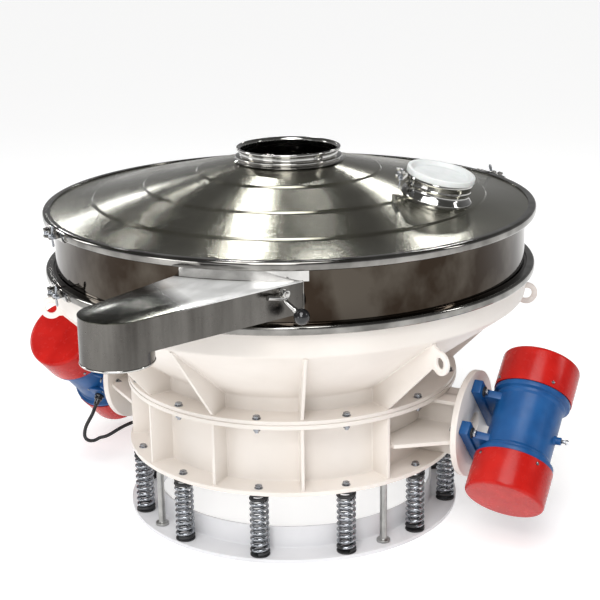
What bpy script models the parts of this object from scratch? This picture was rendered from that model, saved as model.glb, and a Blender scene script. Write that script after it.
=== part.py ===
"""Vibrating sieve with two side motors, on coil springs, for sorting flour, powders and granules.

Metres, +Z up. The origin is the middle of the base ring's underside. The motors sit on +X and -X.
Angles in degrees run anticlockwise from +X, seen from above.
"""
import math

import bmesh
import bpy
from mathutils import Matrix, Vector

for leftover in list(bpy.data.objects):
    bpy.data.objects.remove(leftover, do_unlink=True)

# Shared
GAP = 0.0003                 # between touching pieces
RING_SIDES = 32              # facets round the large turned pieces
BITE = 0.002                 # how far a welded piece reaches into its neighbour
RIB_PITCH = 30.0             # angle between ribs, and between springs
MOTOR_ANGLES = {"right": 0.0, "left": 180.0}

# Base ring, which stands on the floor
BORE_R = 0.359               # the outlet, the same through base, housing and bowl
BASE_WIDTH = 0.079           # of the flat ring, outside the outlet
BASE_R = BORE_R + BASE_WIDTH
BASE_PLATE = 0.010
BASE_WALL = 0.006
BASE_LIP = 0.006             # the wall stands back this far from the outlet
BASE_WALL_TOP = 0.067

# Springs, their seats and the stop posts
SPRING_CIRCLE_R = BORE_R + 0.052
SPRING_WIRE = 0.008
SPRING_OD = 0.049
SPRING_COILS = 6
SPRING_SIDES = 5             # points on one turn
SPRING_LENGTH = 0.165
SEAT_R = 0.0115
SEAT_HEIGHT = 0.016
POST_CIRCLE_R = BORE_R + 0.047
POST_ANGLES = (-120.0, -30.0, 60.0, 150.0)
POST_R = 0.009
POST_FOOT_R = 0.017
POST_FOOT = 0.007
BOUNCE = 0.006               # the travel each way

# Spring housing, the drum of cells above the springs
HOUSING_WALL = 0.006
HOUSING_WALL_R = BORE_R + HOUSING_WALL
HOUSING_FLANGE = 0.069       # width outside the wall
HOUSING_FLANGE_R = HOUSING_WALL_R + HOUSING_FLANGE
HOUSING_PLATE = 0.011
HOUSING_HEIGHT = 0.183
RIB_INSET = 0.006
RIB_PLATE = 0.008

# Bowl, the welded cone that carries the screen
BOWL_FLANGE_WIDTH = 0.067
BOWL_FLANGE_R = HOUSING_WALL_R + BOWL_FLANGE_WIDTH
BOWL_FLANGE = 0.010
BOWL_PLATE = 0.005
BOWL_NECK = 0.037            # height of the upright wall over the flange
DRUM_R = 0.600
BAND_OUT = 0.005             # the bowl's band outside the drum's line
BAND_R = DRUM_R + BAND_OUT
BAND_HEIGHT = 0.061
CONE_HEIGHT = 0.181
RIM_WIDTH = 0.022            # how far every clamped flange stands out from the drum
RIM_R = DRUM_R + RIM_WIDTH
RIM_PLATE = 0.004
EYE_ANGLES = (-30.0, 30.0, 150.0, -150.0)
EYE_R = 0.019
EYE_AT = (BAND_R - 0.011, 0.178)     # radius, and height over the bowl's underside
EYE_HOLE_R = 0.0105

# Screen and sieve drum
FRAME_HEIGHT = 0.008
FRAME_WIDTH = 0.044
FRAME_INNER_R = RIM_R - FRAME_WIDTH
FRAME_BAR = 0.014
MESH_T = 0.001
DRUM_WALL = 0.0025
DRUM_HEIGHT = 0.138
GASKET = 0.008
GASKET_WIDTH = 0.020
GASKET_INNER_R = RIM_R - GASKET_WIDTH

# Clamp rings
CLAMP_SHEET = 0.0025
CLAMP_PLAY = 0.0004
CLAMP_R = RIM_R + 0.0025 + CLAMP_SHEET
CLAMP_GRIP = 0.015           # how far its channel reaches over the flanges
CLAMP_INNER_R = RIM_R - CLAMP_GRIP
CLAMP_ANGLES = (-126.0, 54.0)
CLAMP_END_GAP = 0.014
LUG_LENGTH = 0.012
LUG_OUT = 0.024              # how far the forked lug stands out
CLAMP_LUG_BITE = 0.0032      # how far the lugs reach into the ring's sheet
LUG_SLOT = 0.0106
BOLT_OUT = 0.016             # the bolt's line, outside the ring
BOLT_R = 0.004
SLOT_PLAY = 0.0015
PIN_R = 0.003
PIN_OVER = 0.002
PIN_SIDES = 6
EYELET_R = 0.0072
NUT_R = 0.0075
NUT_LENGTH = 0.011
WING_REACH = 0.019
WING_PLATE = 0.003
NUT_PLAY = 0.0006
NOTCH_LIP = 0.0045           # how far the notched lug reaches past the bolt's line

# Cover
COVER_SHEET = 0.002
COVER_STEPS_IN = (0.098, 0.228, 0.363)   # how far each step lies inside the slope's foot
COVER_STEP = 0.005
COVER_RISE = 0.106
COVER_SLOPE_R = DRUM_R - 0.002
INLET_R = 0.125
INLET_WALL = 0.0025
INLET_SEAT_R = 0.141
INLET_HEIGHT = 0.034
INLET_LIP_R = 0.133
INLET_SIDES = 20

# Inspection port on the cover
PORT_AT_R = RIM_R - 0.220
PORT_ANGLE = 0.0
PORT_R = 0.0762
PORT_WALL = 0.0025
PORT_SIDES = 20
PORT_HEIGHT = 0.050
PORT_SKIRT_R = 0.088
CAP_SKIRT = 0.003
CAP_SKIRT_DEPTH = 0.024
CAP_LIP = 0.0155
CAP_LIP_R = 0.084
CAP_DISH = 0.010
BAND_SHEET = 0.0025
BAND_WIDTH = 0.0235
STRAP_LUG_BITE = 0.0022
PORT_JOINT_ANGLE = 207.0     # of the strap's bolt, round the port from its outer side

# Discharge spout
SPOUT_REACH = 0.285          # from the drum's front to the middle of the nose
SPOUT_NOSE_X = 0.0485
SPOUT_NOSE_R = 0.078
SPOUT_ANGLES = (-88.5, -60.3)    # where its walls meet the drum
SPOUT_SHEET = 0.0025
SPOUT_UNDER_RIM = 0.0349     # its roof, under the drum's top
SPOUT_HEIGHT = 0.073
SPOUT_NOSE_DROP = 0.033      # the nose, under the chute's floor
SPOUT_RIM = 0.004
SPOUT_RIM_OUT = 0.003
NOSE_STEPS = 8

# Gate in the spout
GATE_AT = 0.062              # distance of its shaft from the drum, along the front wall
GATE_SHAFT_R = 0.005
GATE_SHAFT_SIDES = 8
GATE_UNDER_ROOF = 0.012
GATE_DROP = 0.054
GATE_PLATE = 0.003
GATE_SIDE_PLAY = 0.003
GATE_BOSS_R = 0.010
GATE_BOSS = 0.008
LEVER_HUB_R = 0.010
LEVER_HUB = 0.012
LEVER_TAIL = 0.040
LEVER_ROD_R = 0.0045
KNOB_R = 0.018
KNOB_AT = (0.020, -0.0485, 0.045)    # from the shaft: towards the drum, up, and out of the wall

# Vibration motors and their brackets
MOTOR_PLATE_R = 0.135
MOTOR_PLATE = 0.016
MOTOR_PLATE_X = HOUSING_FLANGE_R + 0.080     # its outer face
MOTOR_PLATE_HOLE_R = 0.030
MOTOR_X = MOTOR_PLATE_X + 0.127
MOTOR_TILT = 47.0
MOTOR_BODY_R = 0.084
MOTOR_RIM_R = 0.097
MOTOR_RIM = 0.012
MOTOR_HALF = 0.095
MOTOR_SIDES = 16
MOTOR_CAP_R = 0.099
MOTOR_CAP = 0.096
MOTOR_CAP_SHEET = 0.0025
SHAFT_R = 0.014
SHAFT_HALF = 0.160
SHAFT_SIDES = 12
WEIGHT_R = 0.066
WEIGHT_HUB_R = 0.024
WEIGHT_PLATE = 0.030
FOOT_SPAN_Y = 0.070
FOOT_SPAN_Z = 0.058
FOOT_SIZE = 0.036
FOOT_OVER = 0.026            # rail beyond its bolts
FOOT_HEIGHT = 0.024
SADDLE_DEPTH = 0.075
SADDLE_PLATE = 0.020
WEB_PLATE = 0.012
SHELF_PLATE = 0.010
SHELF_RIB_R = HOUSING_FLANGE_R - 0.004
SHELF_END_Y = 0.115
TONGUE_HALF = 0.050
BOX_SIZE = (0.062, 0.030, 0.070)
BOX_AT = (-0.043, -0.030)    # across and along the motor, from its middle
BOX_BITE = 0.020
GLAND_R = 0.0115
GLAND_LENGTH = 0.032

# Motor lead
LEAD_R = 0.005
LEAD_STEP = 0.025            # between the points of its route
LEAD_COIL_R = 0.055          # middle of its turns
LEAD_COIL_BUNDLE = 0.0105
LEAD_COIL_AT = (-0.402, 0.335)

# Heights that follow from the sizes above
SPRING_BOTTOM = BASE_PLATE
HOUSING_Z = BASE_PLATE + SPRING_LENGTH
HOUSING_TOP = HOUSING_Z + HOUSING_HEIGHT
BOWL_Z = HOUSING_TOP + GAP
BOWL_CONE_Z = BOWL_Z + BOWL_FLANGE + BOWL_NECK
BAND_Z = BOWL_CONE_Z + CONE_HEIGHT
BOWL_TOP = BAND_Z + BAND_HEIGHT + RIM_PLATE
FRAME_Z = BOWL_TOP + GAP
DRUM_Z = FRAME_Z + FRAME_HEIGHT + GAP
DRUM_TOP = DRUM_Z + DRUM_HEIGHT
GASKET_Z = DRUM_TOP + GAP
COVER_Z = GASKET_Z + GASKET + GAP
SPOUT_HIGH = DRUM_TOP - SPOUT_UNDER_RIM
SPOUT_LOW = SPOUT_HIGH - SPOUT_HEIGHT
SPOUT_NOSE_LOW = SPOUT_LOW - SPOUT_NOSE_DROP
SPOUT_NOSE = (SPOUT_NOSE_X, -DRUM_R - SPOUT_REACH)
MOTOR_Z = HOUSING_Z + 0.103
CLAMP_LOW_Z = (BOWL_TOP - RIM_PLATE + DRUM_Z + RIM_PLATE) / 2
CLAMP_HIGH_Z = (DRUM_TOP - RIM_PLATE + COVER_Z + RIM_PLATE) / 2
CLAMP_HALF = (DRUM_Z - BOWL_TOP) / 2 + RIM_PLATE + CLAMP_PLAY + CLAMP_SHEET

assembly = bpy.data.collections.new("vibrating_sieve")
cutters = bpy.data.collections.new("cutters")
bpy.context.scene.collection.children.link(assembly)
bpy.context.scene.collection.children.link(cutters)


def finish(name, colour, roughness, metallic):
    """A Principled material."""
    material = bpy.data.materials.new(name)
    material.use_nodes = True
    shader = material.node_tree.nodes["Principled BSDF"]
    shader.inputs["Base Color"].default_value = (*colour, 1.0)
    shader.inputs["Roughness"].default_value = roughness
    shader.inputs["Metallic"].default_value = metallic
    material.diffuse_color = (*colour, 1.0)
    return material


CREAM = finish("cream_paint", (0.83, 0.78, 0.70), 0.45, 0.0)
RED = finish("red_paint", (0.62, 0.02, 0.02), 0.35, 0.0)
BLUE = finish("blue_paint", (0.03, 0.16, 0.42), 0.4, 0.0)
MIRROR_STEEL = finish("polished_steel", (0.72, 0.71, 0.69), 0.08, 1.0)
BRUSHED_STEEL = finish("brushed_steel", (0.66, 0.65, 0.62), 0.28, 1.0)
ZINC = finish("zinc_plate", (0.63, 0.64, 0.66), 0.3, 1.0)
DARK_STEEL = finish("dark_steel", (0.18, 0.18, 0.19), 0.45, 1.0)
RUBBER = finish("black_rubber", (0.02, 0.02, 0.02), 0.6, 0.0)
BLACK_PLASTIC = finish("black_plastic", (0.015, 0.015, 0.015), 0.2, 0.0)
WHITE_SILICONE = finish("white_silicone", (0.85, 0.86, 0.84), 0.4, 0.0)
MESH_STEEL = finish("mesh_steel", (0.5, 0.5, 0.48), 0.5, 1.0)


def place(name, mesh, material, parent=None):
    """A finished piece: its mesh gets the material and joins the assembly."""
    mesh.name = name
    mesh.materials.clear()
    mesh.materials.append(material)
    if mesh.polygons:
        mesh.shade_smooth()
        mesh.set_sharp_from_angle(angle=math.radians(35))
    piece = bpy.data.objects.new(name, mesh)
    piece.parent = parent
    assembly.objects.link(piece)
    return piece


def guide(name, mesh, parent=None):
    """A cutter, or a shape to be welded on: kept out of the assembly."""
    tool = bpy.data.objects.new(name, mesh)
    tool.parent = parent
    tool.hide_render = True
    tool.display_type = "WIRE"
    cutters.objects.link(tool)
    return tool


def combine(target, tool, operation):
    """Weld on ("UNION"), cut away ("DIFFERENCE") or keep the shared part ("INTERSECT")."""
    step = target.modifiers.new(tool.name, "BOOLEAN")
    step.operation = operation
    step.solver = "EXACT"
    step.object = tool


def turned_mesh(name, profile, sides, closed):
    """Edges of a profile in radius and height; turn() makes them a solid."""
    mesh = bpy.data.meshes.new(name)
    edges = [(i, i + 1) for i in range(len(profile) - 1)]
    if closed:
        edges.append((len(profile) - 1, 0))
    mesh.from_pydata([(r, 0.0, z) for r, z in profile], edges, [])
    mesh["sides"] = sides
    return mesh


def turn(piece):
    """Turn a profile a full circle about Z."""
    screw = piece.modifiers.new("turn", "SCREW")
    screw.axis = "Z"
    screw.angle = math.tau
    screw.steps = piece.data["sides"]
    screw.render_steps = screw.steps
    screw.use_merge_vertices = True
    screw.merge_threshold = 0.00001
    screw.use_smooth_shade = False
    return piece


def turned(name, profile, material, sides=RING_SIDES, closed=True, parent=None):
    """A turned piece; its outer side runs top to bottom."""
    piece = place(name, turned_mesh(name, profile, sides, closed), material, parent)
    return turn(piece)


def turned_guide(name, profile, sides=RING_SIDES, closed=True, parent=None):
    """A turned cutter or weld shape."""
    return turn(guide(name, turned_mesh(name, profile, sides, closed), parent))


def merged(name, meshes):
    """One mesh from several separate closed ones."""
    bm = bmesh.new()
    for mesh in meshes:
        bm.from_mesh(mesh)
    joined = bpy.data.meshes.new(name)
    bm.to_mesh(joined)
    bm.free()
    return joined


def moved(mesh, matrix):
    """A moved copy of a mesh."""
    copy = mesh.copy()
    copy.transform(matrix)
    return copy


def block(name, size, centre):
    """A box."""
    bm = bmesh.new()
    bmesh.ops.create_cube(bm, size=1.0)
    bmesh.ops.scale(bm, vec=Vector(size), verts=bm.verts)
    bmesh.ops.translate(bm, vec=Vector(centre), verts=bm.verts)
    mesh = bpy.data.meshes.new(name)
    bm.to_mesh(mesh)
    bm.free()
    return mesh


def rod(name, radius, start, end, sides=12):
    """A cylinder between two points."""
    start, end = Vector(start), Vector(end)
    bm = bmesh.new()
    bmesh.ops.create_cone(
        bm, cap_ends=True, segments=sides, radius1=radius, radius2=radius, depth=(end - start).length,
    )
    turn_to = (end - start).to_track_quat("Z", "Y").to_matrix().to_4x4()
    bmesh.ops.transform(bm, matrix=Matrix.Translation((start + end) / 2) @ turn_to, verts=bm.verts)
    mesh = bpy.data.meshes.new(name)
    bm.to_mesh(mesh)
    bm.free()
    return mesh


def running_fit(radius, sides):
    """Radius of a faceted hole in which a faceted shaft of this radius turns freely."""
    return radius / math.cos(math.pi / sides) + GAP


def curve_solid(name, curve):
    """The closed mesh of a filled curve, which is then removed."""
    carrier = bpy.data.objects.new(name, curve)
    cutters.objects.link(carrier)
    evaluated = carrier.evaluated_get(bpy.context.evaluated_depsgraph_get())
    mesh = bpy.data.meshes.new_from_object(evaluated)
    mesh.transform(carrier.matrix_world)
    bm = bmesh.new()
    bm.from_mesh(mesh)
    bmesh.ops.remove_doubles(bm, verts=bm.verts, dist=0.00001)
    bm.to_mesh(mesh)
    bm.free()
    bpy.data.objects.remove(carrier, do_unlink=True)
    bpy.data.curves.remove(curve)
    return mesh


def plate(name, outlines, thickness):
    """A flat plate in XY, centred on z = 0; outlines after the first are its holes."""
    curve = bpy.data.curves.new(name, "CURVE")
    curve.dimensions = "2D"
    curve.fill_mode = "BOTH"
    curve.extrude = thickness / 2
    for outline in outlines:
        spline = curve.splines.new("POLY")
        spline.points.add(len(outline) - 1)
        for point, (x, y) in zip(spline.points, outline):
            point.co = (x, y, 0.0, 1.0)
        spline.use_cyclic_u = True
    return curve_solid(name, curve)


def wire(name, points, radius, resolution):
    """A round tube along points, with closed ends."""
    curve = bpy.data.curves.new(name, "CURVE")
    curve.dimensions = "3D"
    curve.bevel_depth = radius
    curve.bevel_resolution = resolution
    curve.use_fill_caps = True
    spline = curve.splines.new("POLY")
    spline.points.add(len(points) - 1)
    for point, co in zip(spline.points, points):
        point.co = (*co, 1.0)
    return curve_solid(name, curve)


def arc(centre, radius, start, end, steps):
    """Points on an arc, both ends included."""
    turns = [math.radians(start + (end - start) * i / steps) for i in range(steps + 1)]
    return [(centre[0] + radius * math.cos(a), centre[1] + radius * math.sin(a)) for a in turns]


def circle(centre, radius, sides):
    """Points round a full circle."""
    return arc(centre, radius, 0.0, 360.0 * (sides - 1) / sides, sides - 1)


def at_angle(angle, radius=0.0, height=0.0):
    """A frame on a radius of the machine: X outwards, Z up."""
    return Matrix.Rotation(math.radians(angle), 4, "Z") @ Matrix.Translation((radius, 0.0, height))


UPRIGHT = Matrix.Rotation(math.radians(90.0), 4, "X")    # a plate's Y becomes the machine's Z
RIB_ANGLES = [RIB_PITCH * i for i in range(12)]
FREE_RIB_ANGLES = [a for a in RIB_ANGLES if a not in MOTOR_ANGLES.values()]
SPRING_ANGLES = [a + RIB_PITCH / 2 for a in RIB_ANGLES]


def spring_seats(low, high):
    """A ring of pegs that locate the springs."""
    peg = rod("peg", SEAT_R, (0, 0, low), (0, 0, high), sides=6)
    return merged("spring_seats", [moved(peg, at_angle(a, SPRING_CIRCLE_R)) for a in SPRING_ANGLES])


def make_base_ring():
    """Angle-section ring on the floor, with a peg under each spring."""
    wall_r = BORE_R + BASE_LIP + BASE_WALL
    ring = turned("base_ring", [
        (BASE_R, BASE_PLATE), (BASE_R, 0.0), (wall_r - BASE_WALL, 0.0),
        (wall_r - BASE_WALL, BASE_WALL_TOP), (wall_r, BASE_WALL_TOP), (wall_r, BASE_PLATE),
    ], CREAM)
    pegs = spring_seats(BASE_PLATE - BITE, BASE_PLATE + SEAT_HEIGHT)
    combine(ring, guide("base_seats", pegs), "UNION")


def make_stop_posts():
    """Four posts that stop the deck when it bounces too low."""
    top = HOUSING_Z - BOUNCE - GAP
    for index, angle in enumerate(POST_ANGLES, 1):
        foot_top = BASE_PLATE + POST_FOOT
        profile = [
            (0.0, top), (POST_R, top), (POST_R, foot_top), (POST_FOOT_R, foot_top),
            (POST_FOOT_R, BASE_PLATE + GAP), (0.0, BASE_PLATE + GAP),
        ]
        post = turned(f"stop_post_{index}", profile, DARK_STEEL, sides=8, closed=False)
        post.matrix_world = at_angle(angle, POST_CIRCLE_R)


def spring_points():
    """Centre line of one spring: closed end coils and an even pitch between."""
    low = SPRING_BOTTOM + GAP + SPRING_WIRE / 2
    high = HOUSING_Z - GAP - SPRING_WIRE / 2
    end_pitch = SPRING_WIRE + 0.0012
    pitch = (high - low - 2 * end_pitch) / (SPRING_COILS - 2)
    mean_r = (SPRING_OD - SPRING_WIRE) / 2
    points = []
    height = low
    for i in range(SPRING_COILS * SPRING_SIDES + 1):
        turns = i / SPRING_SIDES
        points.append((mean_r * math.cos(math.tau * turns), mean_r * math.sin(math.tau * turns), height))
        ending = turns < 1 or turns >= SPRING_COILS - 1
        height += (end_pitch if ending else pitch) / SPRING_SIDES
    return points


def make_springs():
    """Twelve coil springs."""
    coil = wire("coil", spring_points(), SPRING_WIRE / 2, 0)
    for index, angle in enumerate(SPRING_ANGLES, 1):
        spring = place(f"spring_{index:02d}", coil.copy(), ZINC)
        spring.matrix_world = at_angle(angle, SPRING_CIRCLE_R)


def make_spring_housing():
    """Short drum with two flanges and ribs, which stands on the springs."""
    low, high = HOUSING_Z, HOUSING_TOP
    housing = turned("spring_housing", [
        (HOUSING_FLANGE_R, high), (HOUSING_FLANGE_R, high - HOUSING_PLATE),
        (HOUSING_WALL_R, high - HOUSING_PLATE), (HOUSING_WALL_R, low + HOUSING_PLATE),
        (HOUSING_FLANGE_R, low + HOUSING_PLATE), (HOUSING_FLANGE_R, low),
        (BORE_R, low), (BORE_R, high),
    ], CREAM)
    reach = HOUSING_FLANGE_R - RIB_INSET
    rib_low = low + HOUSING_PLATE - BITE
    rib_high = high - HOUSING_PLATE + BITE
    rib = block("rib", (reach - HOUSING_WALL_R + BITE, RIB_PLATE, rib_high - rib_low),
                ((reach + HOUSING_WALL_R - BITE) / 2, 0.0, (rib_low + rib_high) / 2))
    ribs = merged("ribs", [moved(rib, at_angle(a)) for a in FREE_RIB_ANGLES])
    combine(housing, guide("housing_ribs", ribs), "UNION")
    combine(housing, guide("housing_seats", spring_seats(low - SEAT_HEIGHT, low + BITE)), "UNION")


def cone_r(height):
    """Outer radius of the bowl's cone at a height."""
    share = (height - BOWL_CONE_Z) / CONE_HEIGHT
    return HOUSING_WALL_R + share * (BAND_R - HOUSING_WALL_R)


def gusset(with_eye):
    """Plate between the bowl's flange and its band, in radius and height."""
    foot = (BOWL_FLANGE_R - RIB_INSET, BOWL_Z + BOWL_FLANGE - BITE)
    inner = [(HOUSING_WALL_R - BITE, foot[1]), foot]
    top_z = BAND_Z - 0.004
    inside = [(cone_r(top_z) - BITE, top_z), (HOUSING_WALL_R - BITE, BOWL_CONE_Z)]
    outlines = []
    if with_eye:
        eye = (EYE_AT[0], BOWL_Z + EYE_AT[1])
        outlines.append(inner + arc(eye, EYE_R, -50.0, 60.0, 5) + inside)
        outlines.append(circle(eye, EYE_HOLE_R, 8))
    else:
        outlines.append(inner + [(cone_r(top_z) - 0.002 + RIB_INSET, top_z)] + inside)
    return plate("gusset", outlines, RIB_PLATE)


def make_bowl():
    """Welded bowl: flange, upright neck, cone, band and rolled rim, with gussets."""
    flange_top = BOWL_Z + BOWL_FLANGE
    bowl = turned("bowl", [
        (RIM_R, BOWL_TOP), (RIM_R, BOWL_TOP - RIM_PLATE), (BAND_R, BOWL_TOP - RIM_PLATE),
        (BAND_R, BAND_Z), (HOUSING_WALL_R, BOWL_CONE_Z), (HOUSING_WALL_R, flange_top),
        (BOWL_FLANGE_R, flange_top), (BOWL_FLANGE_R, BOWL_Z), (BORE_R, BOWL_Z),
        (BORE_R, BOWL_CONE_Z + BITE), (BAND_R - BOWL_PLATE, BAND_Z + BITE),
        (BAND_R - BOWL_PLATE, BOWL_TOP),
    ], CREAM)
    plain, eyed = gusset(False), gusset(True)
    plates = [
        moved(eyed if angle in [a % 360.0 for a in EYE_ANGLES] else plain, at_angle(angle) @ UPRIGHT)
        for angle in FREE_RIB_ANGLES
    ]
    combine(bowl, guide("bowl_gussets", merged("gussets", plates)), "UNION")


def make_screen():
    """Screen ring with its cross bars, and the woven mesh inside it."""
    low, high = FRAME_Z, FRAME_Z + FRAME_HEIGHT
    frame = turned("screen_frame", [
        (RIM_R, high), (RIM_R, low), (FRAME_INNER_R, low), (FRAME_INNER_R, high),
    ], BRUSHED_STEEL)
    bar_top = high - MESH_T - 2 * GAP
    bar = block("bar", (2 * FRAME_INNER_R + 2 * BITE, FRAME_BAR, bar_top - low),
                (0.0, 0.0, (bar_top + low) / 2))
    for angle in (0.0, 90.0):
        combine(frame, guide(f"frame_bar_{angle:.0f}", moved(bar, at_angle(angle))), "UNION")
    mesh_r = FRAME_INNER_R - GAP
    turned("screen_mesh", [
        (0.0, high), (mesh_r, high), (mesh_r, high - MESH_T), (0.0, high - MESH_T),
    ], MESH_STEEL, closed=False)


def spout_tangents():
    """Where the straight walls meet the nose circle: front wall, back wall."""
    nose = Vector(SPOUT_NOSE)
    touches = []
    for angle, side in ((SPOUT_ANGLES[1], 1.0), (SPOUT_ANGLES[0], -1.0)):
        start = Vector((DRUM_R * math.cos(math.radians(angle)), DRUM_R * math.sin(math.radians(angle))))
        to_nose = nose - start
        lean = math.asin(SPOUT_NOSE_R / to_nose.length)
        heading = math.atan2(to_nose.y, to_nose.x) + side * lean
        reach = math.sqrt(to_nose.length ** 2 - SPOUT_NOSE_R ** 2)
        touches.append((start, start + reach * Vector((math.cos(heading), math.sin(heading)))))
    return touches


FRONT_WALL, BACK_WALL = spout_tangents()
FRONT_DIRECTION = (FRONT_WALL[1] - FRONT_WALL[0]).normalized()
FRONT_NORMAL = Vector((-FRONT_DIRECTION.y, FRONT_DIRECTION.x))


def nose_turns():
    """Directions from the nose's middle to where the back wall and the front wall touch it."""
    nose = Vector(SPOUT_NOSE)
    back = BACK_WALL[1] - nose
    front = FRONT_WALL[1] - nose
    return math.degrees(math.atan2(back.y, back.x)) % 360.0 - 360.0, math.degrees(math.atan2(front.y, front.x))


def nose_arc(inset):
    """The round end of the chute, from back wall to front wall."""
    return arc(SPOUT_NOSE, SPOUT_NOSE_R - inset, *nose_turns(), NOSE_STEPS)


def upright(name, outline, low, high):
    """A plan outline as a solid between two heights."""
    mesh = plate(name, [outline], high - low)
    mesh.transform(Matrix.Translation((0.0, 0.0, (low + high) / 2)))
    return mesh


def spout_prism(name, inset, drum_reach, low, high):
    """The chute as an upright solid: two straight walls and a round nose, drawn in by the sheet."""
    nose = Vector(SPOUT_NOSE)
    front_out = (FRONT_WALL[1] - nose).normalized()
    back_out = (BACK_WALL[1] - nose).normalized()
    back_along = (BACK_WALL[0] - BACK_WALL[1]).normalized()
    front_in = FRONT_WALL[0] - front_out * inset - FRONT_DIRECTION * drum_reach
    back_in = BACK_WALL[0] - back_out * inset + back_along * drum_reach
    return upright(name, [tuple(front_in), tuple(back_in)] + nose_arc(inset), low, high)


def nose_prism(name, inset, low, high):
    """The nose as an upright solid, round all the way; its outer half is the chute's own."""
    back_turn, front_turn = nose_turns()
    rest = arc(SPOUT_NOSE, SPOUT_NOSE_R - inset, front_turn, back_turn + 360.0, NOSE_STEPS)
    return upright(name, nose_arc(inset) + rest[1:-1], low, high)


def make_drum():
    """Polished sieve drum with turned-out rims and the mouth of the spout."""
    inner = DRUM_R - DRUM_WALL
    drum = turned("sieve_drum", [
        (RIM_R, DRUM_TOP), (RIM_R, DRUM_TOP - RIM_PLATE), (DRUM_R, DRUM_TOP - RIM_PLATE),
        (DRUM_R, DRUM_Z + RIM_PLATE), (RIM_R, DRUM_Z + RIM_PLATE), (RIM_R, DRUM_Z),
        (inner, DRUM_Z), (inner, DRUM_TOP),
    ], MIRROR_STEEL)
    mouth = spout_prism("mouth", SPOUT_SHEET, 0.05, SPOUT_LOW + SPOUT_SHEET, SPOUT_HIGH - SPOUT_SHEET)
    combine(drum, guide("spout_mouth", mouth), "DIFFERENCE")


def gate_frame():
    """Frame of the gate shaft: X towards the drum, Y up, Z along the shaft and out of the front wall."""
    to_drum = Vector((*-FRONT_DIRECTION, 0.0))
    outwards = Vector((*FRONT_NORMAL, 0.0))
    at = Vector((*FRONT_WALL[0], 0.0)) - to_drum * GATE_AT
    at.z = SPOUT_HIGH - SPOUT_SHEET - GATE_UNDER_ROOF
    frame = Matrix((to_drum, Vector((0.0, 0.0, 1.0)), outwards)).transposed().to_4x4()
    return Matrix.Translation(at) @ frame


def back_wall_depth(beyond):
    """Depth of the chute from front to back, along the gate shaft, so far beyond it towards the nose."""
    origin = FRONT_WALL[0] + FRONT_DIRECTION * (GATE_AT + beyond)
    wall = (BACK_WALL[1] - BACK_WALL[0]).normalized()
    offset = BACK_WALL[0] - origin
    inward = -FRONT_NORMAL
    return (offset.x * wall.y - offset.y * wall.x) / (inward.x * wall.y - inward.y * wall.x)


def make_spout():
    """Tangential chute with a round nose that drops the overs, and bosses for the gate shaft."""
    shell = spout_prism("spout", 0.0, 0.03, SPOUT_LOW, SPOUT_HIGH)
    spout = place("discharge_spout", shell, MIRROR_STEEL)
    mid = (SPOUT_LOW + SPOUT_HIGH) / 2
    combine(spout, guide("nose_pipe", nose_prism("pipe", 0.0, SPOUT_NOSE_LOW, mid)), "UNION")
    rim = nose_prism("rim", -SPOUT_RIM_OUT, SPOUT_NOSE_LOW, SPOUT_NOSE_LOW + SPOUT_RIM)
    combine(spout, guide("nose_rim", rim), "UNION")
    frame = gate_frame()
    depth = back_wall_depth(0.0)
    shaft_seats = merged("seats", [
        rod("boss", GATE_BOSS_R, (0, 0, -BITE), (0, 0, GATE_BOSS), sides=10),
        rod("boss", GATE_BOSS_R, (0, 0, -depth - GATE_BOSS), (0, 0, -depth + 0.006), sides=10),
    ])
    combine(spout, guide("gate_bosses", moved(shaft_seats, frame)), "UNION")
    inside = spout_prism("inside", SPOUT_SHEET, 0.05, SPOUT_LOW + SPOUT_SHEET, SPOUT_HIGH - SPOUT_SHEET)
    combine(spout, guide("chute_inside", inside), "DIFFERENCE")
    bore = nose_prism("bore", SPOUT_SHEET, SPOUT_NOSE_LOW - 0.01, mid)
    combine(spout, guide("nose_bore", bore), "DIFFERENCE")
    hole = rod("shaft_hole", running_fit(GATE_SHAFT_R, GATE_SHAFT_SIDES), (0, 0, -depth - 0.02),
               (0, 0, 0.02), sides=GATE_SHAFT_SIDES)
    combine(spout, guide("gate_shaft_hole", moved(hole, frame)), "DIFFERENCE")
    seat = DRUM_R + GAP
    drum_seat = turned_guide("drum_seat", [(0.0, DRUM_TOP), (seat, DRUM_TOP), (seat, SPOUT_NOSE_LOW), (0.0, SPOUT_NOSE_LOW)],
                             closed=False)
    combine(spout, drum_seat, "DIFFERENCE")


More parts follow.
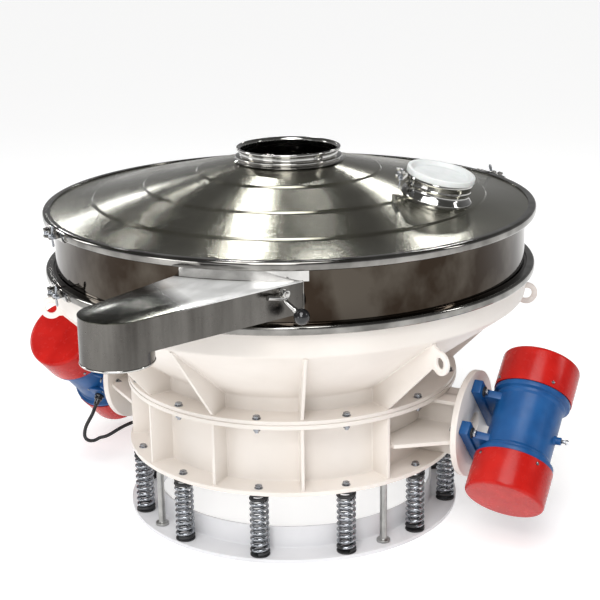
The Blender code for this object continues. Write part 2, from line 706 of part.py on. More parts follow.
def make_gate():
    """Flap on a cross shaft in the chute, worked by a lever with a ball knob."""
    frame = gate_frame()
    hinge = bpy.data.objects.new("gate_hinge", None)
    hinge.matrix_world = frame
    assembly.objects.link(hinge)
    depth = back_wall_depth(0.0)
    shaft_mesh = rod("shaft", GATE_SHAFT_R, (0, 0, -depth - GATE_BOSS - 0.004),
                     (0, 0, GATE_BOSS + LEVER_HUB + 0.003), sides=GATE_SHAFT_SIDES)
    flap_piece = place("gate_flap", shaft_mesh, BRUSHED_STEEL, hinge)
    front = -SPOUT_SHEET - GATE_SIDE_PLAY
    back = -depth + SPOUT_SHEET * 1.1 + GATE_SIDE_PLAY
    swung_back = -back_wall_depth(GATE_DROP) + SPOUT_SHEET * 1.1 + GATE_SIDE_PLAY
    flap_mesh = plate("flap", [[
        (front, 0.0), (front, -GATE_DROP), (swung_back, -GATE_DROP), (back, 0.0),
    ]], GATE_PLATE)
    flap_mesh.transform(Matrix.Rotation(math.radians(-90.0), 4, "Y"))
    combine(flap_piece, guide("flap_plate", flap_mesh, hinge), "UNION")

    hub_low = GATE_BOSS + GAP
    hub_mid = hub_low + LEVER_HUB / 2
    lever = place("gate_lever", rod("hub", LEVER_HUB_R, (0, 0, hub_low), (0, 0, hub_low + LEVER_HUB),
                                    sides=10), MIRROR_STEEL, hinge)
    knob_at = Vector(KNOB_AT)
    under = Vector((0.0, -LEVER_HUB_R, hub_mid))
    elbow = under.lerp(knob_at, 0.35)
    elbow.y = -LEVER_HUB_R - 0.004
    lean = (knob_at - elbow).normalized()
    knob_seat = knob_at - lean * (KNOB_R * 0.8)
    tail = Vector((-LEVER_TAIL, -LEVER_HUB_R - 0.002, hub_mid))
    arm = wire("arm", [tail, under, elbow, knob_seat], LEVER_ROD_R, 1)
    combine(lever, guide("lever_arm", arm, hinge), "UNION")
    bore = rod("lever_bore", GATE_SHAFT_R + GAP, (0, 0, 0), (0, 0, 0.05), sides=GATE_SHAFT_SIDES)
    combine(lever, guide("lever_bore", bore, hinge), "DIFFERENCE")

    bm = bmesh.new()
    bmesh.ops.create_uvsphere(bm, u_segments=12, v_segments=8, radius=KNOB_R)
    ball = bpy.data.meshes.new("ball")
    turn_to = lean.to_track_quat("Z", "Y").to_matrix().to_4x4()
    bmesh.ops.transform(bm, matrix=Matrix.Translation(knob_at) @ turn_to, verts=bm.verts)
    bm.to_mesh(ball)
    bm.free()
    knob = place("lever_knob", ball, BLACK_PLASTIC, hinge)
    socket = rod("socket", running_fit(LEVER_ROD_R, 8), knob_seat - lean * KNOB_R, knob_seat + lean * GAP,
                 sides=8)
    combine(knob, guide("knob_socket", socket, hinge), "DIFFERENCE")


def clamp_section(z):
    """Channel of a clamp ring, open inwards, round the flanges it holds."""
    top, low = z + CLAMP_HALF, z - CLAMP_HALF
    inner = CLAMP_R - CLAMP_SHEET
    return [
        (CLAMP_R, top), (CLAMP_R, low), (CLAMP_INNER_R, low), (CLAMP_INNER_R, low + CLAMP_SHEET),
        (inner, low + CLAMP_SHEET), (inner, top - CLAMP_SHEET),
        (CLAMP_INNER_R, top - CLAMP_SHEET), (CLAMP_INNER_R, top),
    ]


def joint_frame(angle, z):
    """Frame at a clamp joint, on the bolt's line: X outwards, Y along the ring."""
    return at_angle(angle, CLAMP_R + BOLT_OUT, z)


def fit_lugs(ring, name, pin_frame, notch_frame, half_height, bite, parent=None):
    """Forked lug with the swing bolt's pin on one end, and the notched lug for its shank on the other."""
    inner = -BOLT_OUT - bite
    lug_y = CLAMP_END_GAP / 2 + LUG_LENGTH / 2
    forked = block("forked", (LUG_OUT + bite, LUG_LENGTH, 2 * half_height),
                   (inner + (LUG_OUT + bite) / 2, -lug_y, 0.0))
    notched = block("notched", (NOTCH_LIP - inner, LUG_LENGTH, 2 * half_height),
                    ((NOTCH_LIP + inner) / 2, lug_y, 0.0))
    lugs = merged("lugs", [moved(forked, pin_frame), moved(notched, notch_frame)])
    combine(ring, guide(f"{name}_lugs", lugs, parent), "UNION")
    slot_size = (LUG_OUT, LUG_LENGTH + 0.002, LUG_SLOT)
    eye_slot = block("eye_slot", slot_size, (LUG_OUT / 2 - EYELET_R - SLOT_PLAY, -lug_y, 0.0))
    shank_slot = block("shank_slot", slot_size, (LUG_OUT / 2 - BOLT_R - SLOT_PLAY, lug_y, 0.0))
    slots = merged("slots", [moved(eye_slot, pin_frame), moved(shank_slot, notch_frame)])
    combine(ring, guide(f"{name}_slots", slots, parent), "DIFFERENCE")
    pin_half = half_height + PIN_OVER
    pin = rod("pin", PIN_R, (0.0, -lug_y, -pin_half), (0.0, -lug_y, pin_half), sides=PIN_SIDES)
    combine(ring, guide(f"{name}_pin", moved(pin, pin_frame), parent), "UNION")


def swing_bolt(name, frame, material, parent=None):
    """Eye bolt with its wing nut, which swings out about the pin."""
    pin_y = -CLAMP_END_GAP / 2 - LUG_LENGTH / 2
    nut_start = CLAMP_END_GAP / 2 + LUG_LENGTH + NUT_PLAY
    pivot = bpy.data.objects.new(name + "_pivot", None)
    pivot.parent = parent
    pivot.matrix_local = frame @ Matrix.Translation((0.0, pin_y, 0.0))
    assembly.objects.link(pivot)
    eye_half = LUG_SLOT / 2 - GAP
    eyelet = rod("eyelet", EYELET_R, (0, 0, -eye_half), (0, 0, eye_half), sides=8)
    bolt = place(name, eyelet, material, pivot)
    start, end = nut_start - pin_y, nut_start - pin_y + NUT_LENGTH
    combine(bolt, guide(name + "_shank", rod("shank", BOLT_R, (0, PIN_R + 0.002, 0), (0, end + 0.006, 0),
                                             sides=6), pivot), "UNION")
    combine(bolt, guide(name + "_nut", rod("nut", NUT_R, (0, start, 0), (0, end, 0), sides=6), pivot),
            "UNION")
    wings = block("wings", (WING_PLATE, NUT_LENGTH, 2 * WING_REACH), (0.0, (start + end) / 2 + 0.002, 0.0))
    combine(bolt, guide(name + "_wings", wings, pivot), "UNION")
    hole = rod("eye", running_fit(PIN_R, PIN_SIDES), (0, 0, -0.02), (0, 0, 0.02), sides=PIN_SIDES)
    combine(bolt, guide(name + "_eye", hole, pivot), "DIFFERENCE")


def make_clamps():
    """Two clamp rings, each of two halves drawn together by two swing bolts."""
    for level, z in (("lower", CLAMP_LOW_Z), ("upper", CLAMP_HIGH_Z)):
        for side, start in zip(("front", "rear"), CLAMP_ANGLES):
            name = f"{level}_clamp_{side}"
            half = turned(name, clamp_section(z), MIRROR_STEEL)
            keep = block("keep", (4 * CLAMP_R, 2 * CLAMP_R, 4 * CLAMP_HALF),
                         (0.0, CLAMP_R + CLAMP_END_GAP / 2, z))
            combine(half, guide(f"{name}_keep", moved(keep, at_angle(start))), "INTERSECT")
            near, far = joint_frame(start, z), joint_frame(start + 180.0, z)
            fit_lugs(half, name, far, near, CLAMP_HALF, CLAMP_LUG_BITE)
            swing_bolt(f"{level}_bolt_{side}", near, ZINC)


def cover_line():
    """Outer edge of the cover in radius and height, from the rim inwards: slopes and three steps."""
    climb = COVER_RISE - COVER_STEP * len(COVER_STEPS_IN)
    hole_r = running_fit(INLET_R, RING_SIDES)
    slope = climb / (COVER_SLOPE_R - hole_r)
    base = COVER_Z + RIM_PLATE
    line = [(COVER_SLOPE_R, base)]
    for count, step_in in enumerate(COVER_STEPS_IN):
        step_r = COVER_SLOPE_R - step_in
        height = base + step_in * slope + count * COVER_STEP
        line += [(step_r + 0.002, height), (step_r - 0.002, height + COVER_STEP)]
    line.append((hole_r, base + COVER_RISE))
    return line


def make_cover():
    """Pressed cover: rim, cone with three steps, inlet hole and port hole."""
    line = cover_line()
    outer = list(reversed(line)) + [(RIM_R, COVER_Z + RIM_PLATE), (RIM_R, COVER_Z)]
    inner = [(COVER_SLOPE_R - 0.002, COVER_Z)] + [(r - 0.0006, z - COVER_SHEET) for r, z in line[1:-1]]
    inner.append((line[-1][0], line[-1][1] - COVER_SHEET))
    cover = turned("cover", outer + inner, BRUSHED_STEEL)
    hole = rod("port_hole", PORT_R - PORT_WALL, (0, 0, -0.04), (0, 0, 0.03), sides=PORT_SIDES)
    combine(cover, guide("port_hole", moved(hole, port_frame())), "DIFFERENCE")


def make_cover_gasket():
    """Rubber ring between drum and cover."""
    turned("cover_gasket", [
        (RIM_R, GASKET_Z + GASKET), (RIM_R, GASKET_Z), (GASKET_INNER_R, GASKET_Z),
        (GASKET_INNER_R, GASKET_Z + GASKET),
    ], WHITE_SILICONE)


def make_inlet():
    """Flanged inlet neck in the middle of the cover."""
    seat = COVER_Z + RIM_PLATE + COVER_RISE
    top = seat + INLET_HEIGHT
    neck_r = INLET_R - GAP
    turned("inlet_neck", [
        (INLET_LIP_R, top), (INLET_LIP_R, top - 0.006), (neck_r, top - 0.009), (neck_r, seat + 0.016),
        (INLET_LIP_R + 0.003, seat + 0.012), (INLET_SEAT_R, seat + 0.004), (INLET_SEAT_R, seat + GAP),
        (neck_r, seat + GAP), (neck_r, seat - 0.012), (neck_r - INLET_WALL, seat - 0.012),
        (neck_r - INLET_WALL, top),
    ], MIRROR_STEEL, sides=INLET_SIDES)


def port_frame():
    """Frame of the port: origin on the cover, Z square to it, X outwards."""
    line = cover_line()
    (r_out, z_out), (r_in, z_in) = line[0], line[-1]
    tilt = math.atan2(z_in - z_out, r_out - r_in)
    height = z_out + (r_out - PORT_AT_R) * math.tan(tilt)
    return at_angle(PORT_ANGLE, PORT_AT_R, height) @ Matrix.Rotation(tilt, 4, "Y")


def port_band_section():
    """Strap that holds the cap's skirt on the neck."""
    inner = PORT_R + CAP_SKIRT + 2 * GAP
    outer = inner + BAND_SHEET
    top = PORT_HEIGHT - 2 * GAP
    low = top - BAND_WIDTH
    return [(outer, top), (outer, low), (inner, low), (inner, top)]


def make_port():
    """Inspection port: neck welded to the cover, plastic cap, strap and its swing bolt."""
    frame = bpy.data.objects.new("port_axis", None)
    frame.matrix_world = port_frame()
    assembly.objects.link(frame)
    inner = PORT_R - PORT_WALL
    neck = turned("port_neck", [
        (PORT_R, PORT_HEIGHT), (PORT_R, 0.014), (PORT_SKIRT_R, 0.004), (PORT_SKIRT_R, -0.03),
        (inner, -0.03), (inner, PORT_HEIGHT),
    ], MIRROR_STEEL, sides=PORT_SIDES, parent=frame)
    line = [(r, z + GAP * 1.1) for r, z in cover_line()]
    below = turned_guide("cover_body", [(0.0, line[-1][1])] + list(reversed(line))
                         + [(COVER_SLOPE_R, COVER_Z - 0.05), (0.0, COVER_Z - 0.05)], closed=False)
    combine(neck, below, "DIFFERENCE")

    skirt_in = PORT_R + GAP
    skirt_out = skirt_in + CAP_SKIRT
    top = PORT_HEIGHT + CAP_LIP
    dish = top - CAP_DISH
    turned("port_cap", [
        (0.0, dish), (PORT_R - 0.010, dish), (PORT_R - 0.002, top), (CAP_LIP_R, top),
        (CAP_LIP_R, PORT_HEIGHT + GAP), (skirt_out, PORT_HEIGHT + GAP),
        (skirt_out, PORT_HEIGHT - CAP_SKIRT_DEPTH), (skirt_in, PORT_HEIGHT - CAP_SKIRT_DEPTH),
        (skirt_in, PORT_HEIGHT + GAP), (0.0, PORT_HEIGHT + GAP),
    ], WHITE_SILICONE, sides=PORT_SIDES, closed=False, parent=frame)

    section = port_band_section()
    band_r = section[0][0]
    half = BAND_WIDTH / 2
    mid = section[0][1] - half
    band = turned("port_strap", section, MIRROR_STEEL, sides=PORT_SIDES, parent=frame)
    joint = at_angle(PORT_JOINT_ANGLE, band_r + BOLT_OUT, mid)
    split = block("split", (0.03, CLAMP_END_GAP, 3 * half), (-BOLT_OUT, 0.0, 0.0))
    combine(band, guide("strap_split", moved(split, joint), frame), "DIFFERENCE")
    fit_lugs(band, "strap", joint, joint, half, STRAP_LUG_BITE, frame)
    swing_bolt("port_bolt", joint, ZINC, frame)


def make_bracket(name, angle):
    """Cross-shaped bracket: upright web, level shelf, tongue and the round motor plate."""
    side = at_angle(angle)
    inner_face = MOTOR_PLATE_X - MOTOR_PLATE
    face = plate("face", [circle((0.0, 0.0), MOTOR_PLATE_R, 20),
                          circle((0.0, 0.0), MOTOR_PLATE_HOLE_R, 8)], MOTOR_PLATE)
    stand = Matrix.Translation((MOTOR_PLATE_X - MOTOR_PLATE / 2, 0.0, MOTOR_Z)) @ Matrix.Rotation(
        math.radians(90.0), 4, "Y")
    bracket = place(name, moved(face, side @ stand), CREAM)
    low = HOUSING_Z + HOUSING_PLATE + GAP
    high = HOUSING_TOP - HOUSING_PLATE - GAP
    start = HOUSING_WALL_R - 0.01
    end = inner_face + BITE
    web = block("web", (end - start, WEB_PLATE, high - low), ((start + end) / 2, 0.0, (low + high) / 2))
    corner_turn = math.radians(RIB_PITCH - 2.0)
    corner = (SHELF_RIB_R * math.cos(corner_turn), SHELF_RIB_R * math.sin(corner_turn))
    root = (start * math.cos(corner_turn), start * math.sin(corner_turn))
    shelf = plate("shelf", [[
        (root[0], -root[1]), (corner[0], -corner[1]), (end, -SHELF_END_Y), (end, SHELF_END_Y),
        corner, root,
    ]], SHELF_PLATE)
    shelf.transform(Matrix.Translation((0.0, 0.0, (low + high) / 2)))
    tongue = block("tongue", (end - start, 2 * TONGUE_HALF, SHELF_PLATE),
                   ((start + end) / 2, 0.0, high - SHELF_PLATE / 2))
    for label, mesh in (("web", web), ("shelf", shelf), ("tongue", tongue)):
        combine(bracket, guide(f"{name}_{label}", moved(mesh, side)), "UNION")
    seat = HOUSING_WALL_R + GAP
    wall = turned_guide(f"{name}_seat", [(0.0, high + 0.05), (seat, high + 0.05), (seat, low - 0.05),
                                         (0.0, low - 0.05)], closed=False)
    combine(bracket, wall, "DIFFERENCE")


def make_motor(side, angle):
    """Vibration motor: casing on two foot rails, two caps, shaft and eccentric weights."""
    axis = bpy.data.objects.new(f"motor_{side}_axis", None)
    axis.matrix_world = at_angle(angle, MOTOR_X, MOTOR_Z) @ Matrix.Rotation(
        -math.radians(MOTOR_TILT), 4, "X")
    assembly.objects.link(axis)
    bore = running_fit(SHAFT_R, SHAFT_SIDES)
    shoulder = MOTOR_HALF - MOTOR_RIM
    body = turned(f"motor_body_{side}", [
        (MOTOR_RIM_R, MOTOR_HALF), (MOTOR_RIM_R, shoulder), (MOTOR_BODY_R, shoulder - 0.006),
        (MOTOR_BODY_R, -shoulder + 0.006), (MOTOR_RIM_R, -shoulder), (MOTOR_RIM_R, -MOTOR_HALF),
        (bore, -MOTOR_HALF), (bore, MOTOR_HALF),
    ], BLUE, sides=MOTOR_SIDES, parent=axis)
    face_x = MOTOR_PLATE_X - MOTOR_X + GAP
    for z in (-FOOT_SPAN_Z, FOOT_SPAN_Z):
        rail = block("rail", (FOOT_HEIGHT, 2 * (FOOT_SPAN_Y + FOOT_OVER), FOOT_SIZE),
                     (face_x + FOOT_HEIGHT / 2, 0.0, z))
        combine(body, guide(f"motor_{side}_rail_{z:+.3f}", rail, axis), "UNION")
        saddle = block("saddle", (SADDLE_DEPTH, 2 * FOOT_SPAN_Y, SADDLE_PLATE),
                       (face_x + BITE + SADDLE_DEPTH / 2, 0.0, z))
        combine(body, guide(f"motor_{side}_saddle_{z:+.3f}", saddle, axis), "UNION")
    box_foot = math.sqrt(MOTOR_BODY_R ** 2 - BOX_AT[0] ** 2) - BOX_BITE
    box = block("box", BOX_SIZE, (BOX_AT[0], box_foot + BOX_SIZE[1] / 2, BOX_AT[1]))
    combine(body, guide(f"motor_{side}_box", box, axis), "UNION")
    boss = rod("boss", 0.012, (MOTOR_BODY_R - 0.01, 0.0, -0.012), (MOTOR_BODY_R + 0.016, 0.0, -0.012), sides=8)
    combine(body, guide(f"motor_{side}_boss", boss, axis), "UNION")
    bore_tool = rod("bore", bore, (0, 0, -0.2), (0, 0, 0.2), sides=SHAFT_SIDES)
    combine(body, guide(f"motor_{side}_bore", bore_tool, axis), "DIFFERENCE")

    start, end = MOTOR_HALF + GAP, MOTOR_HALF + MOTOR_CAP
    inner_r = MOTOR_CAP_R - MOTOR_CAP_SHEET
    cup = [
        (0.0, end), (MOTOR_CAP_R - 0.006, end), (MOTOR_CAP_R, end - 0.006), (MOTOR_CAP_R, start),
        (inner_r, start), (inner_r, end - 0.007), (MOTOR_CAP_R - 0.007, end - MOTOR_CAP_SHEET),
        (0.0, end - MOTOR_CAP_SHEET),
    ]
    for label, flip in (("upper", 0.0), ("lower", math.pi)):
        cap = turned(f"motor_cap_{side}_{label}", cup, RED, sides=MOTOR_SIDES, closed=False, parent=axis)
        cap.rotation_euler = (flip, 0.0, 0.0)

    shaft = rod("shaft", SHAFT_R, (0, 0, -SHAFT_HALF), (0, 0, SHAFT_HALF), sides=SHAFT_SIDES)
    place(f"motor_shaft_{side}", shaft, DARK_STEEL, axis)
    outline = arc((0.0, 0.0), WEIGHT_R, -90.0, 90.0, 8) + arc((0.0, 0.0), WEIGHT_HUB_R, 90.0, 270.0, 4)
    weight = plate("weight", [outline, circle((0.0, 0.0), SHAFT_R + GAP, SHAFT_SIDES)], WEIGHT_PLATE)
    for label, z in (("upper", SHAFT_HALF - 0.006), ("lower", -SHAFT_HALF + 0.006)):
        centre = z - math.copysign(WEIGHT_PLATE / 2, z)
        place(f"eccentric_{side}_{label}", moved(weight, Matrix.Translation((0.0, 0.0, centre))),
              DARK_STEEL, axis)

    gland_low = box_foot + BOX_SIZE[1] + GAP
    gland = turned(f"cable_gland_{side}", [
        (0.0, GLAND_LENGTH), (LEAD_R + 0.002, GLAND_LENGTH), (GLAND_R - 0.001, GLAND_LENGTH * 0.55),
        (GLAND_R - 0.001, 0.012), (GLAND_R + 0.002, 0.012), (GLAND_R + 0.002, 0.0), (0.0, 0.0),
    ], BLACK_PLASTIC, sides=8, closed=False, parent=axis)
    gland.matrix_local = Matrix.Translation((BOX_AT[0], gland_low, BOX_AT[1])) @ Matrix.Rotation(
        math.radians(-90.0), 4, "X")
    return axis.matrix_world @ Vector((BOX_AT[0], gland_low + GLAND_LENGTH + GAP, BOX_AT[1]))


def smooth_route(points, spacing):
    """A smooth curve through the route's points, read off at an even spacing."""
    curve = []
    ends = [points[0] * 2 - points[1], *points, points[-1] * 2 - points[-2]]
    for before, start, end, after in zip(ends, ends[1:], ends[2:], ends[3:]):
        for i in range(24):
            t = i / 24
            curve.append(0.5 * (2 * start + (end - before) * t
                                + (2 * before - 5 * start + 4 * end - after) * t ** 2
                                + (3 * start - before - 3 * end + after) * t ** 3))
    curve.append(points[-1])
    total = sum((b - a).length for a, b in zip(curve, curve[1:]))
    count = round(total / spacing)
    even, walked, target = [curve[0]], 0.0, total / count
    for a, b in zip(curve, curve[1:]):
        span = (b - a).length
        while walked + span >= target - 1e-9 and len(even) < count:
            even.append(a.lerp(b, (target - walked) / span))
            target += total / count
        walked += span
    even.append(curve[-1])
    return even


def make_lead(exit_point):
    """Lead of the left motor: a hanging loop, then down behind the base to a coil on the floor."""
    coil_at = Vector((*LEAD_COIL_AT, 0.0))
    floor = LEAD_R + 0.0002
    coil_r = LEAD_COIL_R + LEAD_COIL_BUNDLE
    out = Vector((0.0, -math.cos(math.radians(MOTOR_TILT)), -math.sin(math.radians(MOTOR_TILT))))
    route = [
        exit_point + out * 0.015, exit_point + out * 0.030,
        Vector((-0.612, -0.105, 0.098)), Vector((-0.606, -0.110, 0.083)),
        Vector((-0.590, -0.090, 0.074)), Vector((-0.567, -0.050, 0.084)),
        Vector((-0.545, -0.005, 0.098)),
        Vector((-0.525, 0.050, 0.100)), Vector((-0.503, 0.120, 0.075)),
        Vector((-0.488, 0.180, 0.032)), Vector((-0.478, 0.225, floor + 0.002)),
        Vector((-0.472, 0.262, floor)),
        coil_at + Vector((-coil_r - LEAD_R - 0.0008, -0.020, floor)),
        coil_at + Vector((-coil_r - LEAD_R - 0.0008, 0.004, floor)),
    ]
    points = [exit_point, *smooth_route(route, LEAD_STEP)]
    place("motor_lead", wire("motor_lead", points, LEAD_R, 2), RUBBER)
    height = 2 * LEAD_R * 2
    coil = turned("lead_coil", [
        (coil_r, height), (coil_r, GAP), (LEAD_COIL_R - LEAD_COIL_BUNDLE, GAP),
        (LEAD_COIL_R - LEAD_COIL_BUNDLE, height),
    ], RUBBER, sides=16)
    coil.location = coil_at


make_base_ring()
make_stop_posts()
make_springs()
make_spring_housing()
make_bowl()
make_screen()
make_drum()
make_spout()
make_gate()
make_cover_gasket()
make_cover()
make_clamps()
make_inlet()
make_port()
gland_ends = {}
for motor_side, motor_angle in MOTOR_ANGLES.items():
    make_bracket(f"motor_bracket_{motor_side}", motor_angle)
    gland_ends[motor_side] = make_motor(motor_side, motor_angle)
make_lead(gland_ends["left"])
bpy.context.view_layer.update()
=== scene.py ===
"""Looks of the vibrating sieve: painted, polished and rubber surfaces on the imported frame.

Metres, +Z up. The middle of the base ring's underside is the origin. The motors sit on +X and -X.
Angles in degrees run anticlockwise from +X, seen from above.
"""
import math

import bmesh
import bpy
from mathutils import Matrix, Quaternion, Vector


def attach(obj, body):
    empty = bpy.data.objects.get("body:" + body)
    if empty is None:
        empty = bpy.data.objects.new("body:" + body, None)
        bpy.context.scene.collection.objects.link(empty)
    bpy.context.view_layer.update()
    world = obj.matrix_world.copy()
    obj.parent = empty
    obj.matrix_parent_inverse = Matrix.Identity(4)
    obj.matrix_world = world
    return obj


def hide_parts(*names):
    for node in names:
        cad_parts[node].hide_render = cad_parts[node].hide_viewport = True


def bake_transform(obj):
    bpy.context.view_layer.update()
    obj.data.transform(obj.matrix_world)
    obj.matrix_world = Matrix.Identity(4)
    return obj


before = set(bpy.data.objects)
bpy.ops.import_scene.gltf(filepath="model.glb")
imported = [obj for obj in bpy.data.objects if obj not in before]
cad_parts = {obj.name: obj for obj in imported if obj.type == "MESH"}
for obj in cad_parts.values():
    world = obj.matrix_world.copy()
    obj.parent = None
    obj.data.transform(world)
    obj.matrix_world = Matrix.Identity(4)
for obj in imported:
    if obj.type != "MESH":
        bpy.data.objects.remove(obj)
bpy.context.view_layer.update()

# Camera
CAMERA_AT = (1.671, -3.266, 1.638)
CAMERA_AIM = (-0.4309, 0.8557, -0.2867)
CAMERA_ROLL = -0.0152
CAMERA_LENS = 87.7
SENSOR_WIDTH = 36.0

# Floor, light and room
FLOOR_HALF = 60.0
FLOOR_DROP = 0.0005
FLOOR_GREY = 0.80
FLOOR_ROUGH = 0.9
FLOOR_GLOW = 0.42
ON_BODY = (0.0, 0.0, 0.45)
ON_COVER = (0.0, 0.0, 0.85)
ON_FLOOR = (0.0, 0.0, 0.0)
SOFT_BOXES = (               # name, azimuth, elevation, distance, size, power, the point it faces
    ("front", -70.0, 29.0, 5.0, (1.6, 2.2), 66.0, ON_BODY),
    ("low_front", -112.0, 7.0, 4.6, (1.8, 0.7), 22.0, ON_BODY),
    ("under", -63.0, 89.0, 0.24, (0.5, 0.5), 0.65, ON_FLOOR),
    ("left", -165.0, 22.0, 4.4, (0.7, 1.6), 30.0, ON_BODY),
    ("right", 14.0, 28.0, 4.6, (0.3, 1.4), 15.0, ON_BODY),
    ("cover_front", 123.5, 39.0, 4.2, (0.26, 0.32), 16.0, ON_COVER),
    ("cover_left", 134.6, 26.0, 4.2, (0.06, 0.12), 0.8, ON_COVER),
    ("cover_far_left", 137.0, 17.0, 4.2, (0.14, 0.16), 1.8, ON_COVER),
    ("cover_right", 100.0, 29.0, 4.2, (0.40, 0.24), 9.0, ON_COVER),
    ("cover_back", 114.0, 31.0, 4.2, (0.30, 0.20), 3.0, ON_COVER),
)
SUN_POWER = 2.0
SUN_WIDTH = 40.0
SUN_TILT = 32.0
SUN_TURN = 15.0
ROOM_LOW = (0.50, 0.50, 0.51, 1.0)
ROOM_HIGH = (0.16, 0.16, 0.155, 1.0)
ROOM_FADE = (0.05, 0.50)     # where the low tone ends and the high one begins
ROOM_POWER = 0.6

# Shared
GAP = 0.0003                 # air between pieces that touch
BITE = 0.002                 # how far a welded plate runs into the wall beside it
SINK = 0.001                 # how far it runs into the flange that it stands on
SAME_POINT = 1e-6
ROUND = 128                  # sides of the large turned pieces
MEDIUM = 96                  # sides of the middle-sized ones
FINE = 48                    # sides of the small ones
SHARP = math.radians(38.0)   # edges that turn more than this aren't shaded smooth
SOFTENED = math.radians(40.0)    # and those over this one are rounded
FLAT = math.radians(0.5)
STRAIGHT_ON = math.radians(176.0)    # a corner this open isn't rounded
SIDE_SHARE = 0.48            # the most that a rounding takes of the side beside it
MOTOR_ANGLES = {"right": 0.0, "left": 180.0}
RIB_PITCH = 30.0
RIB_PLACES = 12
BESIDE_MOTORS = (5, RIB_PITCH, RIB_PITCH, 2)    # five places on each side of the motors
BEAD_SPACING = 0.004         # between a weld's points, close enough for its ripple
BEAD_UNEVEN = 0.6            # how far a weld swells and thins, as a share of its radius
BEAD_RIPPLE = 140.0
GRAIN_DEPTH = 0.0004
WIRES = 160.0                # how close the woven wires stand
WIRE_DEPTH = 0.0006

# Base ring, posts and springs
BASE_R = 0.438
BASE_PLATE = 0.010
BASE_WALL = (0.365, 0.371)   # inner and outer radius
BASE_WALL_TOP = 0.067
SPRING_CIRCLE_R = 0.411
SPRING_WIRE = 0.0084
SPRING_OD = 0.049
SPRING_TURNS = 10.5
SPRING_PAD = 0.0035
HOUSING_Z = 0.175
SPRING_LOW = BASE_PLATE + GAP
SPRING_HIGH = HOUSING_Z - GAP
POST_CIRCLE_R = 0.406
POST_ANGLES = (-120.0, -30.0, 60.0, 150.0)
POST_R = 0.009
POST_FOOT_R = 0.017
POST_FOOT = 0.007
POST_TOP = 0.1687
SPRING_FACETS = 18           # points on one turn
SLEEVE_POINTS = 17           # points of an end turn that are in rubber
SLEEVE_WALL = 0.0004
COIL_GAP = 0.0006            # between the wires of an end turn

# Housing and bowl
BORE_R = 0.359
WALL_R = 0.365
HOUSING_FLANGE_R = 0.434
HOUSING_PLATE = 0.011
HOUSING_TOP = 0.358
RIB_INSET = 0.006
RIB_PLATE = 0.008
BOWL_FLANGE_R = 0.432
BOWL_Z = 0.3583
BOWL_FLANGE_TOP = 0.3683
CONE_Z = 0.4053
BAND_Z = 0.5863
BOWL_TOP = 0.6513
BAND_R = 0.605
BOWL_PLATE = 0.005
RIM_R = 0.622
RIM_PLATE = 0.004
EYE_AT = (0.6235, 0.540)
EYE_R = 0.0285
EYE_HOLE_R = 0.0142
FLANGE_BOLT_R = 0.417
RIB_BEAD = 0.0022
GUSSET_BEAD = 0.0024
GUSSET_TOP = BAND_Z - 0.004
WASHER_R = 0.0108
WASHER = 0.0016
HEX_R = 0.0092
HEX_HEAD = 0.0064
HEX_NUT = 0.0080
CROWN_R = 0.0070             # round top of a hex head
SHANK_R = 0.0050

# Sieve drum, cover and clamp rings
DRUM_R = 0.600
DRUM_WALL = 0.0025
DRUM_Z = 0.6599
DRUM_TOP = 0.7979
COVER_Z = 0.8065
COVER_SHEET = 0.002
COVER_STEPS_R = (0.500, 0.370, 0.235)
COVER_STEP = 0.005
COVER_RISE = 0.106
COVER_SLOPE_R = 0.598
COVER_HOLE_R = 0.1259
COVER_SIDES = 192
CLAMP_R = 0.627
CLAMP_INNER_R = 0.607
CLAMP_SHEET = 0.0025
CLAMP_HALF = 0.0112
CLAMP_SIDES = 160
CLAMP_LEVELS = {"lower": 0.6556, "upper": 0.8022}
CLAMP_ANGLES = {"front": -126.0, "rear": 54.0}
END_GAP = 0.014
LUG_LENGTH = 0.012
LUG_OUT = 0.024
LUG_BITE = 0.0032
LUG_SLOT = 0.0106
BOLT_OUT = 0.016
BOLT_R = 0.004
PIN_R = 0.003
EYELET_R = 0.0072
NUT_R = 0.0075
NUT_LENGTH = 0.011
WING_REACH = 0.026
NOTCH_LIP = 0.0045
PIN_Y = END_GAP / 2 + LUG_LENGTH / 2
SLOT_PLAY = 0.0015
THREAD_PITCH = 0.0018
THREAD_TURNS = 20
THREAD_DEPTH = 0.14          # share of the bolt's radius
WING_EAR_R = 0.0062
WING_SHEET = 0.0030
SADDLE_HALF = 0.011
SADDLE_PROUD = 0.0035
SADDLE_SWEEP = 4.8
SADDLE_STARTS = (1.2, -6.0)  # degrees from a clamp joint

# Inlet neck and inspection port
INLET_R = 0.1247
INLET_WALL = 0.0025
INLET_LIP_R = 0.133
INLET_BAND_R = 0.136
INLET_SEAT_R = 0.141
INLET_SEAT = COVER_Z + RIM_PLATE + COVER_RISE
INLET_TOP = INLET_SEAT + 0.034
PORT_AT_R = 0.402
PORT_R = 0.0762
PORT_WALL = 0.0025
PORT_HEIGHT = 0.050
PORT_SKIRT_R = 0.088
CAP_SKIRT = 0.003
CAP_LIP = 0.0155
CAP_LIP_R = 0.084
CAP_DISH = 0.010
CAP_SKIRT_DROP = 0.024
BAND_SHEET = 0.0025
BAND_WIDTH = 0.0235
PORT_JOINT_ANGLE = 207.0

